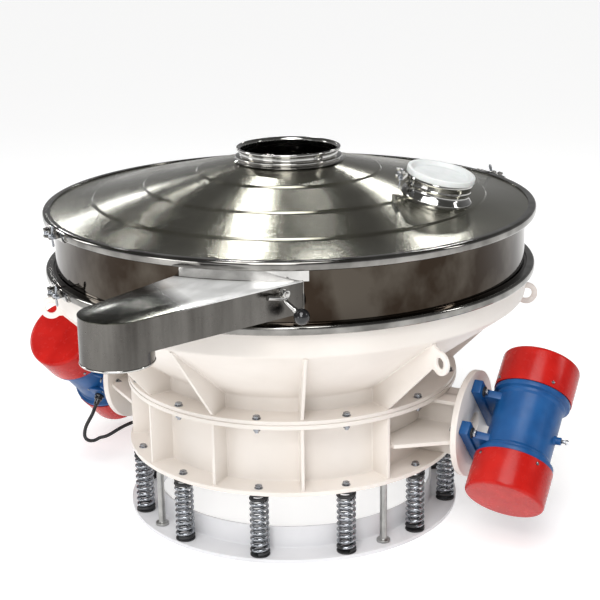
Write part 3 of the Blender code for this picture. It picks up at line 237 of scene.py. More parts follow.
# Discharge spout and its gate
NOSE = (0.0485, -0.885)
NOSE_R = 0.078
SPOUT_ANGLES = (-88.5, -60.3)
SPOUT_SHEET = 0.0025
SPOUT_LOW = 0.690
SPOUT_HIGH = 0.763
NOSE_LOW = 0.657
NOSE_RIM_R = 0.0026
GATE_AT = 0.062
GATE_UNDER_ROOF = 0.012
GATE_BOSS = 0.008
GATE_BOSS_R = 0.010
HUB_R = 0.010
HUB_LENGTH = 0.012
LEVER_R = 0.0055
KNOB_R = 0.018
KNOB_AT = (0.020, -0.0485, 0.045)
LEVER_TAIL = 0.050
INTO_DRUM = 0.03             # how far the chute's sheets start inside the drum's wall
MOUTH_INTO_DRUM = 0.05
TRIM_LOW = 0.5               # the core that trims them there reaches past them both ways
TRIM_HIGH = 0.95
SEAM_BEAD = 0.0014
ROOF_REFLECTION_ALONG = (-0.606, -0.796, 0.0)    # the way in which the roof turns from the painted bright reflection to polish
ROOF_REFLECTION_FADE = (0.50, 0.57)     # where along it the painted bright reflection ends and the polish is complete
ROOF_GLARE_METALLIC = 0.12             # how metallic the roof is under the painted bright reflection
# dark tone painted towards the nose as a dark reflection
ROOF_DARK_REFLECTION = (0.075, 0.075, 0.06, 1.0)
GLARE_FIRST = -31           # the painted glare band's first facet of the drum
GLARE_FACETS = 10
GLARE_PROUD = 0.0008

# Motors and brackets
PLATE_R = 0.135
PLATE_X = (0.498, 0.514)     # inner and outer face
PLATE_HOLE_R = 0.030
MOTOR_Z = 0.278
MOTOR_X = 0.641
MOTOR_TILT = 47.0
MOTOR_R = 0.084
MOTOR_RIM_R = 0.097
MOTOR_RIM = 0.012
MOTOR_HALF = 0.095
CAP_R = 0.099
CAP_LENGTH = 0.096
CAP_SHEET = 0.0025
FOOT_SPAN_Y = 0.070
FOOT_SPAN_Z = 0.058
FOOT_SIZE = 0.036
FOOT_OVER = 0.026
FOOT_HEIGHT = 0.024
SADDLE_DEPTH = 0.075
SADDLE_PLATE = 0.020
BOX_SIZE = (0.062, 0.030, 0.070)
BOX_AT = (-0.043, -0.030)
BOX_BITE = 0.020
GLAND_R = 0.0115
GLAND_LENGTH = 0.032
GLAND_RIB_PITCH = 0.0022
WEB_SHEET = 0.012
SHELF_SHEET = 0.010
SHELF_HALF = 0.115
SHELF_CORNER_R = 0.430
SHELF_TRIM = 2.0             # degrees from the shelf's corner to the rib beside it
TONGUE_WIDTH = 0.100
BRACKET_BEAD = 0.0024
FOOT_WASHER = 0.004
FOOT_WASHER_R = 0.0135
FOOT_SHANK_R = 0.0055
FOOT_HEAD = 0.0078
BACK_WASHER_R = 0.0115
BACK_WASHER = 0.0026
LIFT_Z = -0.012              # the eye bolt's height beside the casing's middle
SCREW_INSET = 0.008
CAP_SCREW_AT = 0.012
CAP_SIDES = 112

# Motor lead
LEAD_R = 0.005
COIL_AT = Vector((-0.402, 0.335, 0.0))
COIL_R = 0.055
COIL_BUNDLE = 0.0105
COIL_ENTRY = COIL_R + COIL_BUNDLE + LEAD_R + 0.0008
COIL_CLEAR = 0.0001
COIL_ARRIVES = (0.0, 70.0)   # where it comes in beside the coil, in degrees turned
COIL_INWARDS = (300.0, 355.0)    # where it changes to the inner row,
COIL_CLIMBS = (590.0, 655.0)     # to the upper layer
COIL_OUTWARDS = (905.0, 955.0)   # and back to the outer row
COIL_DEGREES = 1220
COIL_STEP = 8
LEAD_Z = LEAD_R + 0.0002     # height of its middle where it lies on the floor
KEEP_FIRST = 5               # points of its first and last stretch that aren't eased
KEEP_LAST = 12
EASE_PASSES = 12


# Meshes


def to_mesh(bm, name="part"):
    """A mesh from a bmesh, which is then freed."""
    mesh = bpy.data.meshes.new(name)
    bm.to_mesh(mesh)
    bm.free()
    return mesh


def merged(mesh):
    """A bmesh of a mesh, with its doubled points merged."""
    bm = bmesh.new()
    bm.from_mesh(mesh)
    bmesh.ops.remove_doubles(bm, verts=bm.verts, dist=SAME_POINT)
    return bm


def joined(meshes):
    """One mesh from several."""
    bm = bmesh.new()
    for mesh in meshes:
        bm.from_mesh(mesh)
    return to_mesh(bm)


def moved(mesh, matrix):
    """A moved copy of a mesh."""
    copy = mesh.copy()
    copy.transform(matrix)
    return copy


def in_scene(name, data):
    """A new object in the scene."""
    made = bpy.data.objects.new(name, data)
    bpy.context.scene.collection.objects.link(made)
    return made


def finished_mesh(thing):
    """An object's mesh with its modifiers in it; the object is then removed."""
    mesh = bpy.data.meshes.new_from_object(thing.evaluated_get(bpy.context.evaluated_depsgraph_get()))
    bpy.data.objects.remove(thing, do_unlink=True)
    return mesh


def rounded(line, radius, closed=True, steps=3):
    """A profile with its corners rounded; radius is one value, or one for each corner."""
    out = []
    for i, here in enumerate(line):
        bend = radius[i] if isinstance(radius, (list, tuple)) else radius
        corner = Vector(here)
        back = Vector(line[i - 1]) - corner
        ahead = Vector(line[(i + 1) % len(line)]) - corner
        at_end = not closed and i in (0, len(line) - 1)
        if at_end or not bend or back.angle(ahead) > STRAIGHT_ON:
            out.append(tuple(corner))
            continue
        reach = min(bend / math.tan(back.angle(ahead) / 2), back.length * SIDE_SHARE,
                    ahead.length * SIDE_SHARE)
        start, end = corner + back.normalized() * reach, corner + ahead.normalized() * reach
        for k in range(steps + 1):
            t = k / steps
            out.append(tuple(start * (1 - t) ** 2 + corner * 2 * t * (1 - t) + end * t ** 2))
    return out


def spun(line, sides=ROUND, closed=True, start=0.0, sweep=360.0):
    """A turned shape from a profile in radius and height; part of a turn gets end faces."""
    bm = bmesh.new()
    turn = Matrix.Rotation(math.radians(start), 4, "Z")
    verts = [bm.verts.new(turn @ Vector((r, 0.0, z))) for r, z in line]
    edges = [bm.edges.new(pair) for pair in zip(verts, verts[1:])]
    if closed:
        edges.append(bm.edges.new((verts[-1], verts[0])))
    bmesh.ops.spin(bm, geom=verts + edges, cent=(0, 0, 0), axis=(0, 0, 1), angle=math.radians(sweep),
                   steps=max(2, round(sides * sweep / 360.0)), use_duplicate=False)
    bmesh.ops.remove_doubles(bm, verts=bm.verts, dist=SAME_POINT)
    if sweep < 360.0:
        bmesh.ops.holes_fill(bm, edges=[e for e in bm.edges if e.is_boundary])
    bmesh.ops.recalc_face_normals(bm, faces=bm.faces)
    return to_mesh(bm)


def turned(line, bend, sides=FINE, steps=3):
    """A turned shape whose rounded profile starts and ends on the axis."""
    return spun(rounded(line, bend, closed=False, steps=steps), sides, closed=False)


def soften(mesh, width):
    """Round the edges that turn sharply, unless the width is nothing."""
    if not width:
        return mesh
    bm = merged(mesh)
    bmesh.ops.dissolve_limit(bm, angle_limit=FLAT, verts=bm.verts, edges=bm.edges)
    sharp = [e for e in bm.edges if len(e.link_faces) == 2 and e.calc_face_angle() > SOFTENED]
    bmesh.ops.bevel(bm, geom=sharp, offset=width, offset_type="OFFSET", segments=2, profile=0.5,
                    affect="EDGES", clamp_overlap=True)
    return to_mesh(bm)


def block(size, centre, edge):
    """A box with rounded edges."""
    bm = bmesh.new()
    bmesh.ops.create_cube(bm, size=1.0)
    bmesh.ops.scale(bm, vec=Vector(size), verts=bm.verts)
    bmesh.ops.translate(bm, vec=Vector(centre), verts=bm.verts)
    return soften(to_mesh(bm), edge)


def rod(radius, start, end, sides, edge=0.0005):
    """A round or hexagonal bar between two points, with its ends eased."""
    start, end = Vector(start), Vector(end)
    bm = bmesh.new()
    bmesh.ops.create_cone(bm, cap_ends=True, segments=sides, radius1=radius, radius2=radius,
                          depth=(end - start).length)
    turn = (end - start).to_track_quat("Z", "Y").to_matrix().to_4x4()
    bmesh.ops.transform(bm, matrix=Matrix.Translation((start + end) / 2) @ turn, verts=bm.verts)
    return soften(to_mesh(bm), edge)


def ball(radius, centre):
    """A smooth ball."""
    bm = bmesh.new()
    bmesh.ops.create_uvsphere(bm, u_segments=FINE, v_segments=FINE // 2, radius=radius)
    bmesh.ops.translate(bm, vec=Vector(centre), verts=bm.verts)
    return to_mesh(bm)


def curve_mesh(curve):
    """The welded mesh of a curve, which is then removed."""
    mesh = finished_mesh(in_scene("carrier", curve))
    bpy.data.curves.remove(curve)
    return to_mesh(merged(mesh))


def plate(outlines, thickness, edge):
    """A flat plate in XY, centred on z = 0; outlines after the first are its holes."""
    curve = bpy.data.curves.new("plate", "CURVE")
    curve.dimensions = "2D"
    curve.fill_mode = "BOTH"
    curve.extrude = thickness / 2
    for outline in outlines:
        spline = curve.splines.new("POLY")
        spline.points.add(len(outline) - 1)
        for point, (x, y) in zip(spline.points, outline):
            point.co = (x, y, 0.0, 1.0)
        spline.use_cyclic_u = True
    return soften(curve_mesh(curve), edge)


def level_plate(outlines, low, high, edge=0.0):
    """Plan outlines as a plate between two heights."""
    return moved(plate(outlines, high - low, edge), Matrix.Translation((0.0, 0.0, (low + high) / 2)))


def pipe(points, radius, resolution=4):
    """A round tube along points, with closed ends."""
    curve = bpy.data.curves.new("pipe", "CURVE")
    curve.dimensions = "3D"
    curve.bevel_depth = radius
    curve.bevel_resolution = resolution
    curve.use_fill_caps = True
    spline = curve.splines.new("POLY")
    spline.points.add(len(points) - 1)
    for point, co in zip(spline.points, points):
        point.co = (*co, 1.0)
    return curve_mesh(curve)


def cut(mesh, tool):
    """A mesh with another taken out of it."""
    target, cutter = in_scene("target", mesh), in_scene("cutter", tool)
    step = target.modifiers.new("cut", "BOOLEAN")
    step.operation = "DIFFERENCE"
    step.solver = "EXACT"
    step.object = cutter
    result = finished_mesh(target)
    bpy.data.objects.remove(cutter, do_unlink=True)
    return result


def arc(centre, radius, start, end, steps):
    """Points on an arc, both ends included."""
    turns = [math.radians(start + (end - start) * i / steps) for i in range(steps + 1)]
    return [(centre[0] + radius * math.cos(a), centre[1] + radius * math.sin(a)) for a in turns]


def circle(centre, radius, sides):
    """Points round a full circle."""
    return arc(centre, radius, 0.0, 360.0 * (sides - 1) / sides, sides - 1)


def at_angle(angle, radius=0.0, height=0.0):
    """A frame on a radius of the machine: X outwards, Z up."""
    return Matrix.Rotation(math.radians(angle), 4, "Z") @ Matrix.Translation((radius, 0.0, height))


def turned_about(axis, degrees):
    """A rotation about one of the axes."""
    return Matrix.Rotation(math.radians(degrees), 4, axis)


UPRIGHT = turned_about("X", 90.0)    # a plate's Y becomes the machine's Z


# Geometry Nodes


def add(tree, kind, inputs=(), **settings):
    """A node with its inputs linked or set; inputs are (socket, value) pairs."""
    made = tree.nodes.new(kind)
    for key, value in settings.items():
        setattr(made, key, value)
    for socket, value in inputs:
        if isinstance(value, bpy.types.Node):
            value = value.outputs[0]
        if isinstance(value, bpy.types.NodeSocket):
            tree.links.new(value, made.inputs[socket])
        else:
            made.inputs[socket].default_value = value
    return made


RING_INPUTS = (("Copies", "Int"), ("Step", "Float"), ("First", "Float"), ("Sectors", "Int"),
               ("Finish", "Material"))


def new_tree(name, *inputs):
    """A geometry tree with its own named inputs and those of a ring, and its group input node."""
    tree = bpy.data.node_groups.new(name, "GeometryNodeTree")
    tree.interface.new_socket("Geometry", in_out="INPUT", socket_type="NodeSocketGeometry")
    for label, kind in (*inputs, *RING_INPUTS):
        tree.interface.new_socket(label, in_out="INPUT", socket_type=f"NodeSocket{kind}")
    tree.interface.new_socket("Geometry", in_out="OUTPUT", socket_type="NodeSocketGeometry")
    return tree, tree.nodes.new("NodeGroupInput").outputs


def close_tree(tree, geometry, given):
    """Copies at an even step round the machine's axis, that row in equal sectors, and their finish."""
    index = add(tree, "GeometryNodeInputIndex")
    turn = add(tree, "ShaderNodeMath", [(0, index), (1, given["Step"]), (2, given["First"])],
               operation="MULTIPLY_ADD")
    row_turn = add(tree, "ShaderNodeCombineXYZ", [("Z", turn)])
    row = add(tree, "GeometryNodeInstanceOnPoints", [
        ("Points", add(tree, "GeometryNodePoints", [("Count", given["Copies"])])),
        ("Instance", geometry),
        ("Rotation", add(tree, "FunctionNodeEulerToRotation", [("Euler", row_turn)]))])
    sector = add(tree, "ShaderNodeMath", [(0, math.tau), (1, given["Sectors"])], operation="DIVIDE")
    sector_turn = add(tree, "ShaderNodeMath", [(0, index), (1, sector)], operation="MULTIPLY")
    ring_turn = add(tree, "ShaderNodeCombineXYZ", [("Z", sector_turn)])
    rows = add(tree, "GeometryNodeInstanceOnPoints", [
        ("Points", add(tree, "GeometryNodePoints", [("Count", given["Sectors"])])), ("Instance", row),
        ("Rotation", add(tree, "FunctionNodeEulerToRotation", [("Euler", ring_turn)]))])
    real = add(tree, "GeometryNodeRealizeInstances", [("Geometry", rows)])
    dressed = add(tree, "GeometryNodeSetMaterial", [("Geometry", real), ("Material", given["Finish"])])
    add(tree, "NodeGroupOutput", [("Geometry", dressed)])
    return tree


def sweep_tube(tree, line, radius, sides):
    """A round section swept along a line."""
    path = add(tree, "GeometryNodeMeshToCurve", [("Mesh", line)])
    section = add(tree, "GeometryNodeCurvePrimitiveCircle", [("Resolution", sides), ("Radius", radius)])
    return add(tree, "GeometryNodeCurveToMesh", [
        ("Curve", path), ("Profile Curve", section), ("Fill Caps", True)])


def round_pattern_tree():
    """A part repeated round the machine."""
    tree, given = new_tree("round_pattern")
    return close_tree(tree, given["Geometry"], given)


def spring_set_tree():
    """Wire swept along one spring's line, set out on a circle round the machine."""
    tree, given = new_tree("spring_set", ("Wire radius", "Float"), ("Circle radius", "Float"))
    coil = sweep_tube(tree, given["Geometry"], given["Wire radius"], 10)
    offset = add(tree, "ShaderNodeCombineXYZ", [("X", given["Circle radius"])])
    placed = add(tree, "GeometryNodeTransform", [("Geometry", coil), ("Translation", offset)])
    return close_tree(tree, placed, given)


def weld_bead_tree():
    """A weld bead along a line, uneven as a hand weld is, repeated round the machine."""
    tree, given = new_tree("weld_bead", ("Bead radius", "Float"), ("Unevenness", "Float"),
                           ("Ripple", "Float"), ("Seed", "Float"))
    bead = sweep_tube(tree, given["Geometry"], given["Bead radius"], 8)
    noise = add(tree, "ShaderNodeTexNoise", [("W", given["Seed"]), ("Scale", given["Ripple"])],
                noise_dimensions="4D")
    about = add(tree, "ShaderNodeMath", [(0, noise.outputs[0]), (1, 0.5)], operation="SUBTRACT")
    swell = add(tree, "ShaderNodeMath", [(0, about), (1, given["Unevenness"])], operation="MULTIPLY")
    push = add(tree, "ShaderNodeVectorMath", [
        (0, add(tree, "GeometryNodeInputNormal")), ("Scale", swell)], operation="SCALE")
    uneven = add(tree, "GeometryNodeSetPosition", [("Geometry", bead), ("Offset", push)])
    return close_tree(tree, uneven, given)


def grow(tree, mesh, values):
    """Run a tree on a mesh and keep the result as a plain mesh."""
    carrier = in_scene("carrier", mesh)
    step = carrier.modifiers.new(tree.name, "NODES")
    step.node_group = tree
    sockets = {s.name: s.identifier for s in tree.interface.items_tree if s.in_out == "INPUT"}
    for label, value in values.items():
        step[sockets[label]] = value
    bpy.context.view_layer.update()
    return finished_mesh(carrier)


ROUND_PATTERN = round_pattern_tree()
SPRING_SET = spring_set_tree()
WELD_BEAD = weld_bead_tree()


def ring(material, copies=1, step=0.0, first=0.0, sectors=1):
    """A tree's values for copies round the machine; angles in degrees."""
    return {"Copies": copies, "Step": math.radians(step), "First": math.radians(first),
            "Sectors": sectors, "Finish": material}


def set_round(mesh, material, *layout):
    """Copies of a part round the machine."""
    return grow(ROUND_PATTERN, mesh, ring(material, *layout))


def line_mesh(*lines):
    """Edges along lines of points."""
    bm = bmesh.new()
    for line in lines:
        verts = [bm.verts.new(point) for point in line]
        for pair in zip(verts, verts[1:]):
            bm.edges.new(pair)
    return to_mesh(bm)


def straight(start, end):
    """Points along a straight line, close enough for a bead's ripple."""
    start, end = Vector(start), Vector(end)
    steps = max(2, round((end - start).length / BEAD_SPACING))
    return [start.lerp(end, i / steps) for i in range(steps + 1)]


def weld(lines, radius, material, *layout, seed=1.0):
    """Weld beads along lines, repeated round the machine."""
    return grow(WELD_BEAD, line_mesh(*lines), {
        "Bead radius": radius, "Unevenness": radius * BEAD_UNEVEN, "Ripple": BEAD_RIPPLE,
        "Seed": seed, **ring(material, *layout)})


# Finishes


def finish(name, slot, dark, light, patch, rough, metallic=0.0, spread=0.18, drift=(1.0, 1.0, 1.0),
           grain=0.0, grain_size=0.001, stretch=(1.0, 1.0, 1.0), lines=0.0, fixed=None):
    """A finish whose tone and gloss drift over patches, with a fine grain in its surface; on the dark
    polished and spun sheets the tone patches are painted reflections.

    spread is how softly dark turns into light, and drift draws the patches out along an axis.
    lines is the pitch of fine circular tool marks about the machine's axis.
    """
    material = bpy.data.materials.new(name)
    material.use_nodes = True
    material["slot"] = slot
    tree = material.node_tree
    shader = tree.nodes["Principled BSDF"]
    place = add(tree, "ShaderNodeTexCoord").outputs["Object"]
    drawn = add(tree, "ShaderNodeMapping", [("Vector", place), ("Scale", drift)])
    tone = add(tree, "ShaderNodeTexNoise", [("Vector", drawn), ("Scale", 1.0 / patch), ("Detail", 4.0)])
    ramp = add(tree, "ShaderNodeValToRGB", [("Fac", tone.outputs[0])])
    ramp.color_ramp.elements[0].position = 0.5 - spread
    ramp.color_ramp.elements[0].color = (*dark, 1.0)
    ramp.color_ramp.elements[1].position = 0.5 + spread
    ramp.color_ramp.elements[1].color = (*light, 1.0)
    tree.links.new(ramp.outputs[0], shader.inputs["Base Color"])
    gloss = add(tree, "ShaderNodeTexNoise", [("Vector", place), ("Scale", 3.1 / patch), ("Detail", 5.0)])
    gloss_range = add(tree, "ShaderNodeMapRange", [
        ("Value", gloss.outputs[0]), ("From Min", 0.3), ("From Max", 0.7),
        ("To Min", rough[0]), ("To Max", rough[1])])
    tree.links.new(gloss_range.outputs[0], shader.inputs["Roughness"])
    shader.inputs["Metallic"].default_value = metallic
    if grain:
        where = place
        if lines:
            apart = add(tree, "ShaderNodeSeparateXYZ", [("Vector", place)])
            flat = add(tree, "ShaderNodeCombineXYZ", [("X", apart.outputs[0]), ("Y", apart.outputs[1])])
            radius = add(tree, "ShaderNodeVectorMath", [(0, flat)], operation="LENGTH")
            where = add(tree, "ShaderNodeCombineXYZ", [("X", radius.outputs["Value"]),
                                                       ("Y", apart.outputs[2])])
            grain_size = lines
        stretched = add(tree, "ShaderNodeMapping", [("Vector", where), ("Scale", stretch)])
        fine = add(tree, "ShaderNodeTexNoise", [
            ("Vector", stretched), ("Scale", 1.0 / grain_size), ("Detail", 3.0)])
        bump = add(tree, "ShaderNodeBump", [
            ("Height", fine.outputs[0]), ("Strength", grain), ("Distance", GRAIN_DEPTH)])
        tree.links.new(bump.outputs[0], shader.inputs["Normal"])
    for label, value in (fixed or {}).items():
        shader.inputs[label].default_value = value
    return material


CREAM = finish("cream_enamel", "cream_paint", (0.80, 0.745, 0.69), (0.86, 0.81, 0.76), 0.16,
               (0.33, 0.46), grain=0.10, grain_size=0.0022, fixed={"Coat Weight": 0.15})
BASE_WHITE = finish("base_enamel", "cream_paint", (0.69, 0.69, 0.71), (0.77, 0.77, 0.79), 0.14,
                    (0.32, 0.45), grain=0.10, grain_size=0.0022, fixed={"Coat Weight": 0.15})
RED = finish("red_enamel", "red_paint", (0.42, 0.008, 0.006), (0.52, 0.014, 0.010), 0.05,
             (0.20, 0.30), grain=0.12, grain_size=0.004, fixed={"Specular IOR Level": 0.22})
BLUE = finish("blue_enamel", "blue_paint", (0.008, 0.065, 0.21), (0.013, 0.095, 0.28), 0.05,
              (0.28, 0.42), grain=0.35, grain_size=0.003, fixed={"Specular IOR Level": 0.28})
# Drum sheet: its dark tint and its patches of brown and grey are painted reflections of dark surroundings.
MIRROR_PAINTED_REFLECTIONS = finish("polished_sheet_painted_reflections", "polished_steel", (0.034, 0.024, 0.017), (0.088, 0.075, 0.061), 0.13,
                (0.04, 0.08), metallic=1.0, spread=0.10, drift=(1.0, 1.0, 0.8), grain=0.05, grain_size=0.03)
BRIGHT = finish("bright_steel", "polished_steel", (0.46, 0.455, 0.44), (0.66, 0.65, 0.63), 0.05,
                (0.06, 0.12), metallic=1.0, grain=0.06, grain_size=0.012)
# Clamp ring steel: its dark tint is a painted dark reflection of the surroundings.
RING_PAINTED_DARK_REFLECTION = finish("ring_steel_painted_dark_reflection", "polished_steel", (0.16, 0.155, 0.145), (0.36, 0.35, 0.33), 0.07,
              (0.06, 0.12), metallic=1.0, grain=0.05, grain_size=0.012)
# Spout sheet: its dark tint and upright streaks are painted reflections.
SATIN_PAINTED_REFLECTIONS = finish("satin_sheet_painted_reflections", "polished_steel", (0.075, 0.070, 0.064), (0.17, 0.162, 0.15), 0.05,
               (0.18, 0.30), metallic=1.0, drift=(1.0, 1.0, 0.12), grain=0.18, grain_size=0.0012,
               stretch=(1.0, 1.0, 0.05))
# Cover sheet: its dark olive tint and broad patches are painted reflections of dark surroundings; the radial
# gloss comes from the lamps.
SPUN_PAINTED_REFLECTION = finish("spun_cover_sheet_painted_reflection", "brushed_steel", (0.33, 0.32, 0.265), (0.42, 0.41, 0.345), 0.30,
              (0.19, 0.25), metallic=1.0, grain=0.35, lines=0.0016,
              fixed={"Anisotropic": 0.85, "Anisotropic Rotation": 0.25})
BRUSHED = finish("brushed_plate", "brushed_steel", (0.45, 0.44, 0.42), (0.55, 0.54, 0.52), 0.05,
                 (0.24, 0.36), metallic=1.0, grain=0.2, grain_size=0.0015, stretch=(1.0, 1.0, 0.1))
ZINC = finish("zinc_plate", "zinc_plate", (0.22, 0.23, 0.25), (0.42, 0.44, 0.47), 0.012,
              (0.16, 0.32), metallic=1.0, grain=0.1, grain_size=0.002)
POST_STEEL = finish("turned_post_steel", "dark_steel", (0.34, 0.34, 0.33), (0.46, 0.46, 0.45), 0.02,
                    (0.28, 0.42), metallic=1.0, grain=0.2, grain_size=0.001, stretch=(0.1, 0.1, 1.0))
DARK_STEEL = finish("machined_steel", "dark_steel", (0.14, 0.14, 0.145), (0.22, 0.22, 0.23), 0.02,
                    (0.35, 0.5), metallic=1.0, grain=0.2, grain_size=0.001)
RUBBER = finish("black_rubber", "black_rubber", (0.012, 0.012, 0.013), (0.028, 0.028, 0.03), 0.015,
                (0.45, 0.65), grain=0.3, grain_size=0.0012)
PLASTIC = finish("black_plastic", "black_plastic", (0.008, 0.008, 0.009), (0.016, 0.016, 0.018), 0.02,
                 (0.14, 0.24), grain=0.1, grain_size=0.002, fixed={"Coat Weight": 0.3})
SILICONE = finish("white_silicone", "white_silicone", (0.78, 0.80, 0.79), (0.86, 0.87, 0.865), 0.03,
                  (0.32, 0.5), grain=0.12, grain_size=0.002, fixed={"Subsurface Weight": 0.05})


def roof_painted_reflection_finish():
    """Sheet of the spout's roof: pale and dull beside the drum as a painted bright reflection, polished and
    painted dark towards the nose as a dark reflection.
    """
    material = finish("roof_sheet_painted_reflection", "polished_steel", (0.74, 0.74, 0.73), (0.90, 0.90, 0.89), 0.05,
                      (0.14, 0.24), spread=0.1, drift=(1.0, 0.3, 1.0), grain=0.1, grain_size=0.002)
    tree = material.node_tree
    shader = tree.nodes["Principled BSDF"]
    glare_tone = shader.inputs["Base Color"].links[0].from_socket
    place = add(tree, "ShaderNodeTexCoord").outputs["Object"]
    along = add(tree, "ShaderNodeMapRange", [
        ("Value", add(tree, "ShaderNodeVectorMath", [(0, place), (1, ROOF_REFLECTION_ALONG)],
                      operation="DOT_PRODUCT").outputs["Value"]),
        ("From Min", ROOF_REFLECTION_FADE[0]), ("From Max", ROOF_REFLECTION_FADE[1])])
    metallic_past_glare = add(tree, "ShaderNodeMapRange", [
        ("Value", along.outputs[0]), ("To Min", ROOF_GLARE_METALLIC), ("To Max", 1.0)])
    tree.links.new(metallic_past_glare.outputs[0], shader.inputs["Metallic"])
    tone = add(tree, "ShaderNodeMix", [("Factor", along.outputs[0])], data_type="RGBA")
    tree.links.new(glare_tone, tone.inputs[6])
    tone.inputs[7].default_value = ROOF_DARK_REFLECTION
    tree.links.new(tone.outputs[2], shader.inputs["Base Color"])
    return material


def woven_finish():
    """Fine square wire mesh."""
    material = finish("woven_wire", "mesh_steel", (0.34, 0.34, 0.33), (0.44, 0.44, 0.43), 0.08,
                      (0.3, 0.45), metallic=1.0)
    tree = material.node_tree
    place = add(tree, "ShaderNodeTexCoord").outputs["Object"]
    waves = [add(tree, "ShaderNodeTexWave", [("Vector", place), ("Scale", WIRES)], bands_direction=d)
             for d in ("X", "Y")]
    weave = add(tree, "ShaderNodeMath", [(0, waves[0].outputs[1]), (1, waves[1].outputs[1])],
                operation="MAXIMUM")
    bump = add(tree, "ShaderNodeBump", [("Height", weave), ("Strength", 0.6), ("Distance", WIRE_DEPTH)])
    tree.links.new(bump.outputs[0], tree.nodes["Principled BSDF"].inputs["Normal"])
    return material


WOVEN = woven_finish()


def spun_tangent(material):
    """Make the stretched gloss follow the circular tool marks."""
    tree = material.node_tree
    tangent = add(tree, "ShaderNodeTangent", direction_type="RADIAL", axis="Z")
    tree.links.new(tangent.outputs[0], tree.nodes["Principled BSDF"].inputs["Tangent"])


spun_tangent(SPUN_PAINTED_REFLECTION)


def piece(name, mesh, material, body, *nodes):
    """A finished piece: its mesh, finish, body, and the CAD nodes that it stands for.

    A piece between two bodies has no body of its own.
    """
    mesh.name = name
    mesh.materials.clear()
    mesh.materials.append(material)
    for face in mesh.polygons:
        face.material_index = 0
    mesh.shade_smooth()
    mesh.set_sharp_from_angle(angle=SHARP)
    made = in_scene(name, mesh)
    if body:
        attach(made, body)
    if nodes:
        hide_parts(*nodes)
    return made


def dress(node, material):
    """A CAD node keeps its shape and gets a finish."""
    for slot in bpy.data.objects[node].material_slots:
        slot.material = material


# Camera, floor and light


def make_camera():
    """The photograph's viewpoint."""
    data = bpy.data.cameras.new("camera")
    data.lens = CAMERA_LENS
    data.sensor_width = SENSOR_WIDTH
    camera = in_scene("camera", data)
    camera.location = CAMERA_AT
    camera.rotation_mode = "QUATERNION"
    aim = Vector(CAMERA_AIM).to_track_quat("-Z", "Y")
    camera.rotation_quaternion = aim @ Quaternion((0.0, 0.0, 1.0), CAMERA_ROLL)
    bpy.context.scene.camera = camera


def make_floor():
    """A plain pale floor that reaches past the horizon's edge."""
    bm = bmesh.new()
    bmesh.ops.create_grid(bm, x_segments=1, y_segments=1, size=FLOOR_HALF)
    material = bpy.data.materials.new("studio_floor")
    material.use_nodes = True
    shader = material.node_tree.nodes["Principled BSDF"]
    shader.inputs["Base Color"].default_value = (FLOOR_GREY, FLOOR_GREY, FLOOR_GREY, 1.0)
    shader.inputs["Roughness"].default_value = FLOOR_ROUGH
    shader.inputs["Emission Color"].default_value = (1.0, 1.0, 1.0, 1.0)
    shader.inputs["Emission Strength"].default_value = FLOOR_GLOW
    mesh = to_mesh(bm, "studio_floor")
    mesh.materials.append(material)
    floor = in_scene("studio_floor", mesh)
    floor.location = (0.0, 0.0, -FLOOR_DROP)


def soft_box(name, azimuth, elevation, distance, size, power, target):
    """A rectangular studio light that faces a point of the sieve."""
    data = bpy.data.lights.new(name, "AREA")
    data.shape = "RECTANGLE"
    data.size, data.size_y = size
    data.energy = power
    light = in_scene(name, data)
    a, e = math.radians(azimuth), math.radians(elevation)
    out = Vector((math.cos(a) * math.cos(e), math.sin(a) * math.cos(e), math.sin(e)))
    light.location = Vector(target) + out * distance
    light.rotation_mode = "QUATERNION"
    light.rotation_quaternion = (-out).to_track_quat("-Z", "Y")


def make_sun():
    """Wide, even light from above."""
    data = bpy.data.lights.new("even_light", "SUN")
    data.energy = SUN_POWER
    data.angle = math.radians(SUN_WIDTH)
    sun = in_scene("even_light", data)
    sun.rotation_euler = (math.radians(SUN_TILT), 0.0, math.radians(SUN_TURN))


def make_room():
    """A room that is paler near the horizon."""
    world = bpy.data.worlds.new("studio")
    bpy.context.scene.world = world
    world.use_nodes = True
    tree = world.node_tree
    ground = tree.nodes["Background"]
    around = add(tree, "ShaderNodeTexCoord").outputs["Generated"]
    sky = add(tree, "ShaderNodeSeparateXYZ", [("Vector", around)])
    ramp = add(tree, "ShaderNodeValToRGB", [("Fac", sky.outputs[2])])
    for stop, position, tone in zip(ramp.color_ramp.elements, ROOM_FADE, (ROOM_LOW, ROOM_HIGH)):
        stop.position = position
        stop.color = tone
    tree.links.new(ramp.outputs[0], ground.inputs["Color"])
    ground.inputs["Strength"].default_value = ROOM_POWER
    bpy.context.scene.view_settings.view_transform = "Standard"


# Motor lead


def motor_frame(side):
    """A motor's frame: Z along its shaft, X outwards."""
    return at_angle(MOTOR_ANGLES[side], MOTOR_X, MOTOR_Z) @ turned_about("X", -MOTOR_TILT)


BOX_FOOT = math.sqrt(MOTOR_R ** 2 - BOX_AT[0] ** 2) - BOX_BITE
GLAND_FOOT = BOX_FOOT + BOX_SIZE[1] + GAP
GLAND_TURN = Matrix.Translation((BOX_AT[0], GLAND_FOOT, BOX_AT[1])) @ turned_about("X", -90.0)


def smooth(points, substeps=12):
    """A smooth curve through points."""
    curve = []
    ends = [points[0] * 2 - points[1], *points, points[-1] * 2 - points[-2]]
    for before, start, end, after in zip(ends, ends[1:], ends[2:], ends[3:]):
        for i in range(substeps):
            t = i / substeps
            curve.append(0.5 * (2 * start + (end - before) * t
                                + (2 * before - 5 * start + 4 * end - after) * t ** 2
                                + (3 * start - before - 3 * end + after) * t ** 3))
    curve.append(points[-1])
    return curve


def ease(degrees, start, end):
    """0 before start, 1 after end, smooth between."""
    t = min(1.0, max(0.0, (degrees - start) / (end - start)))
    return t * t * (3 - 2 * t)


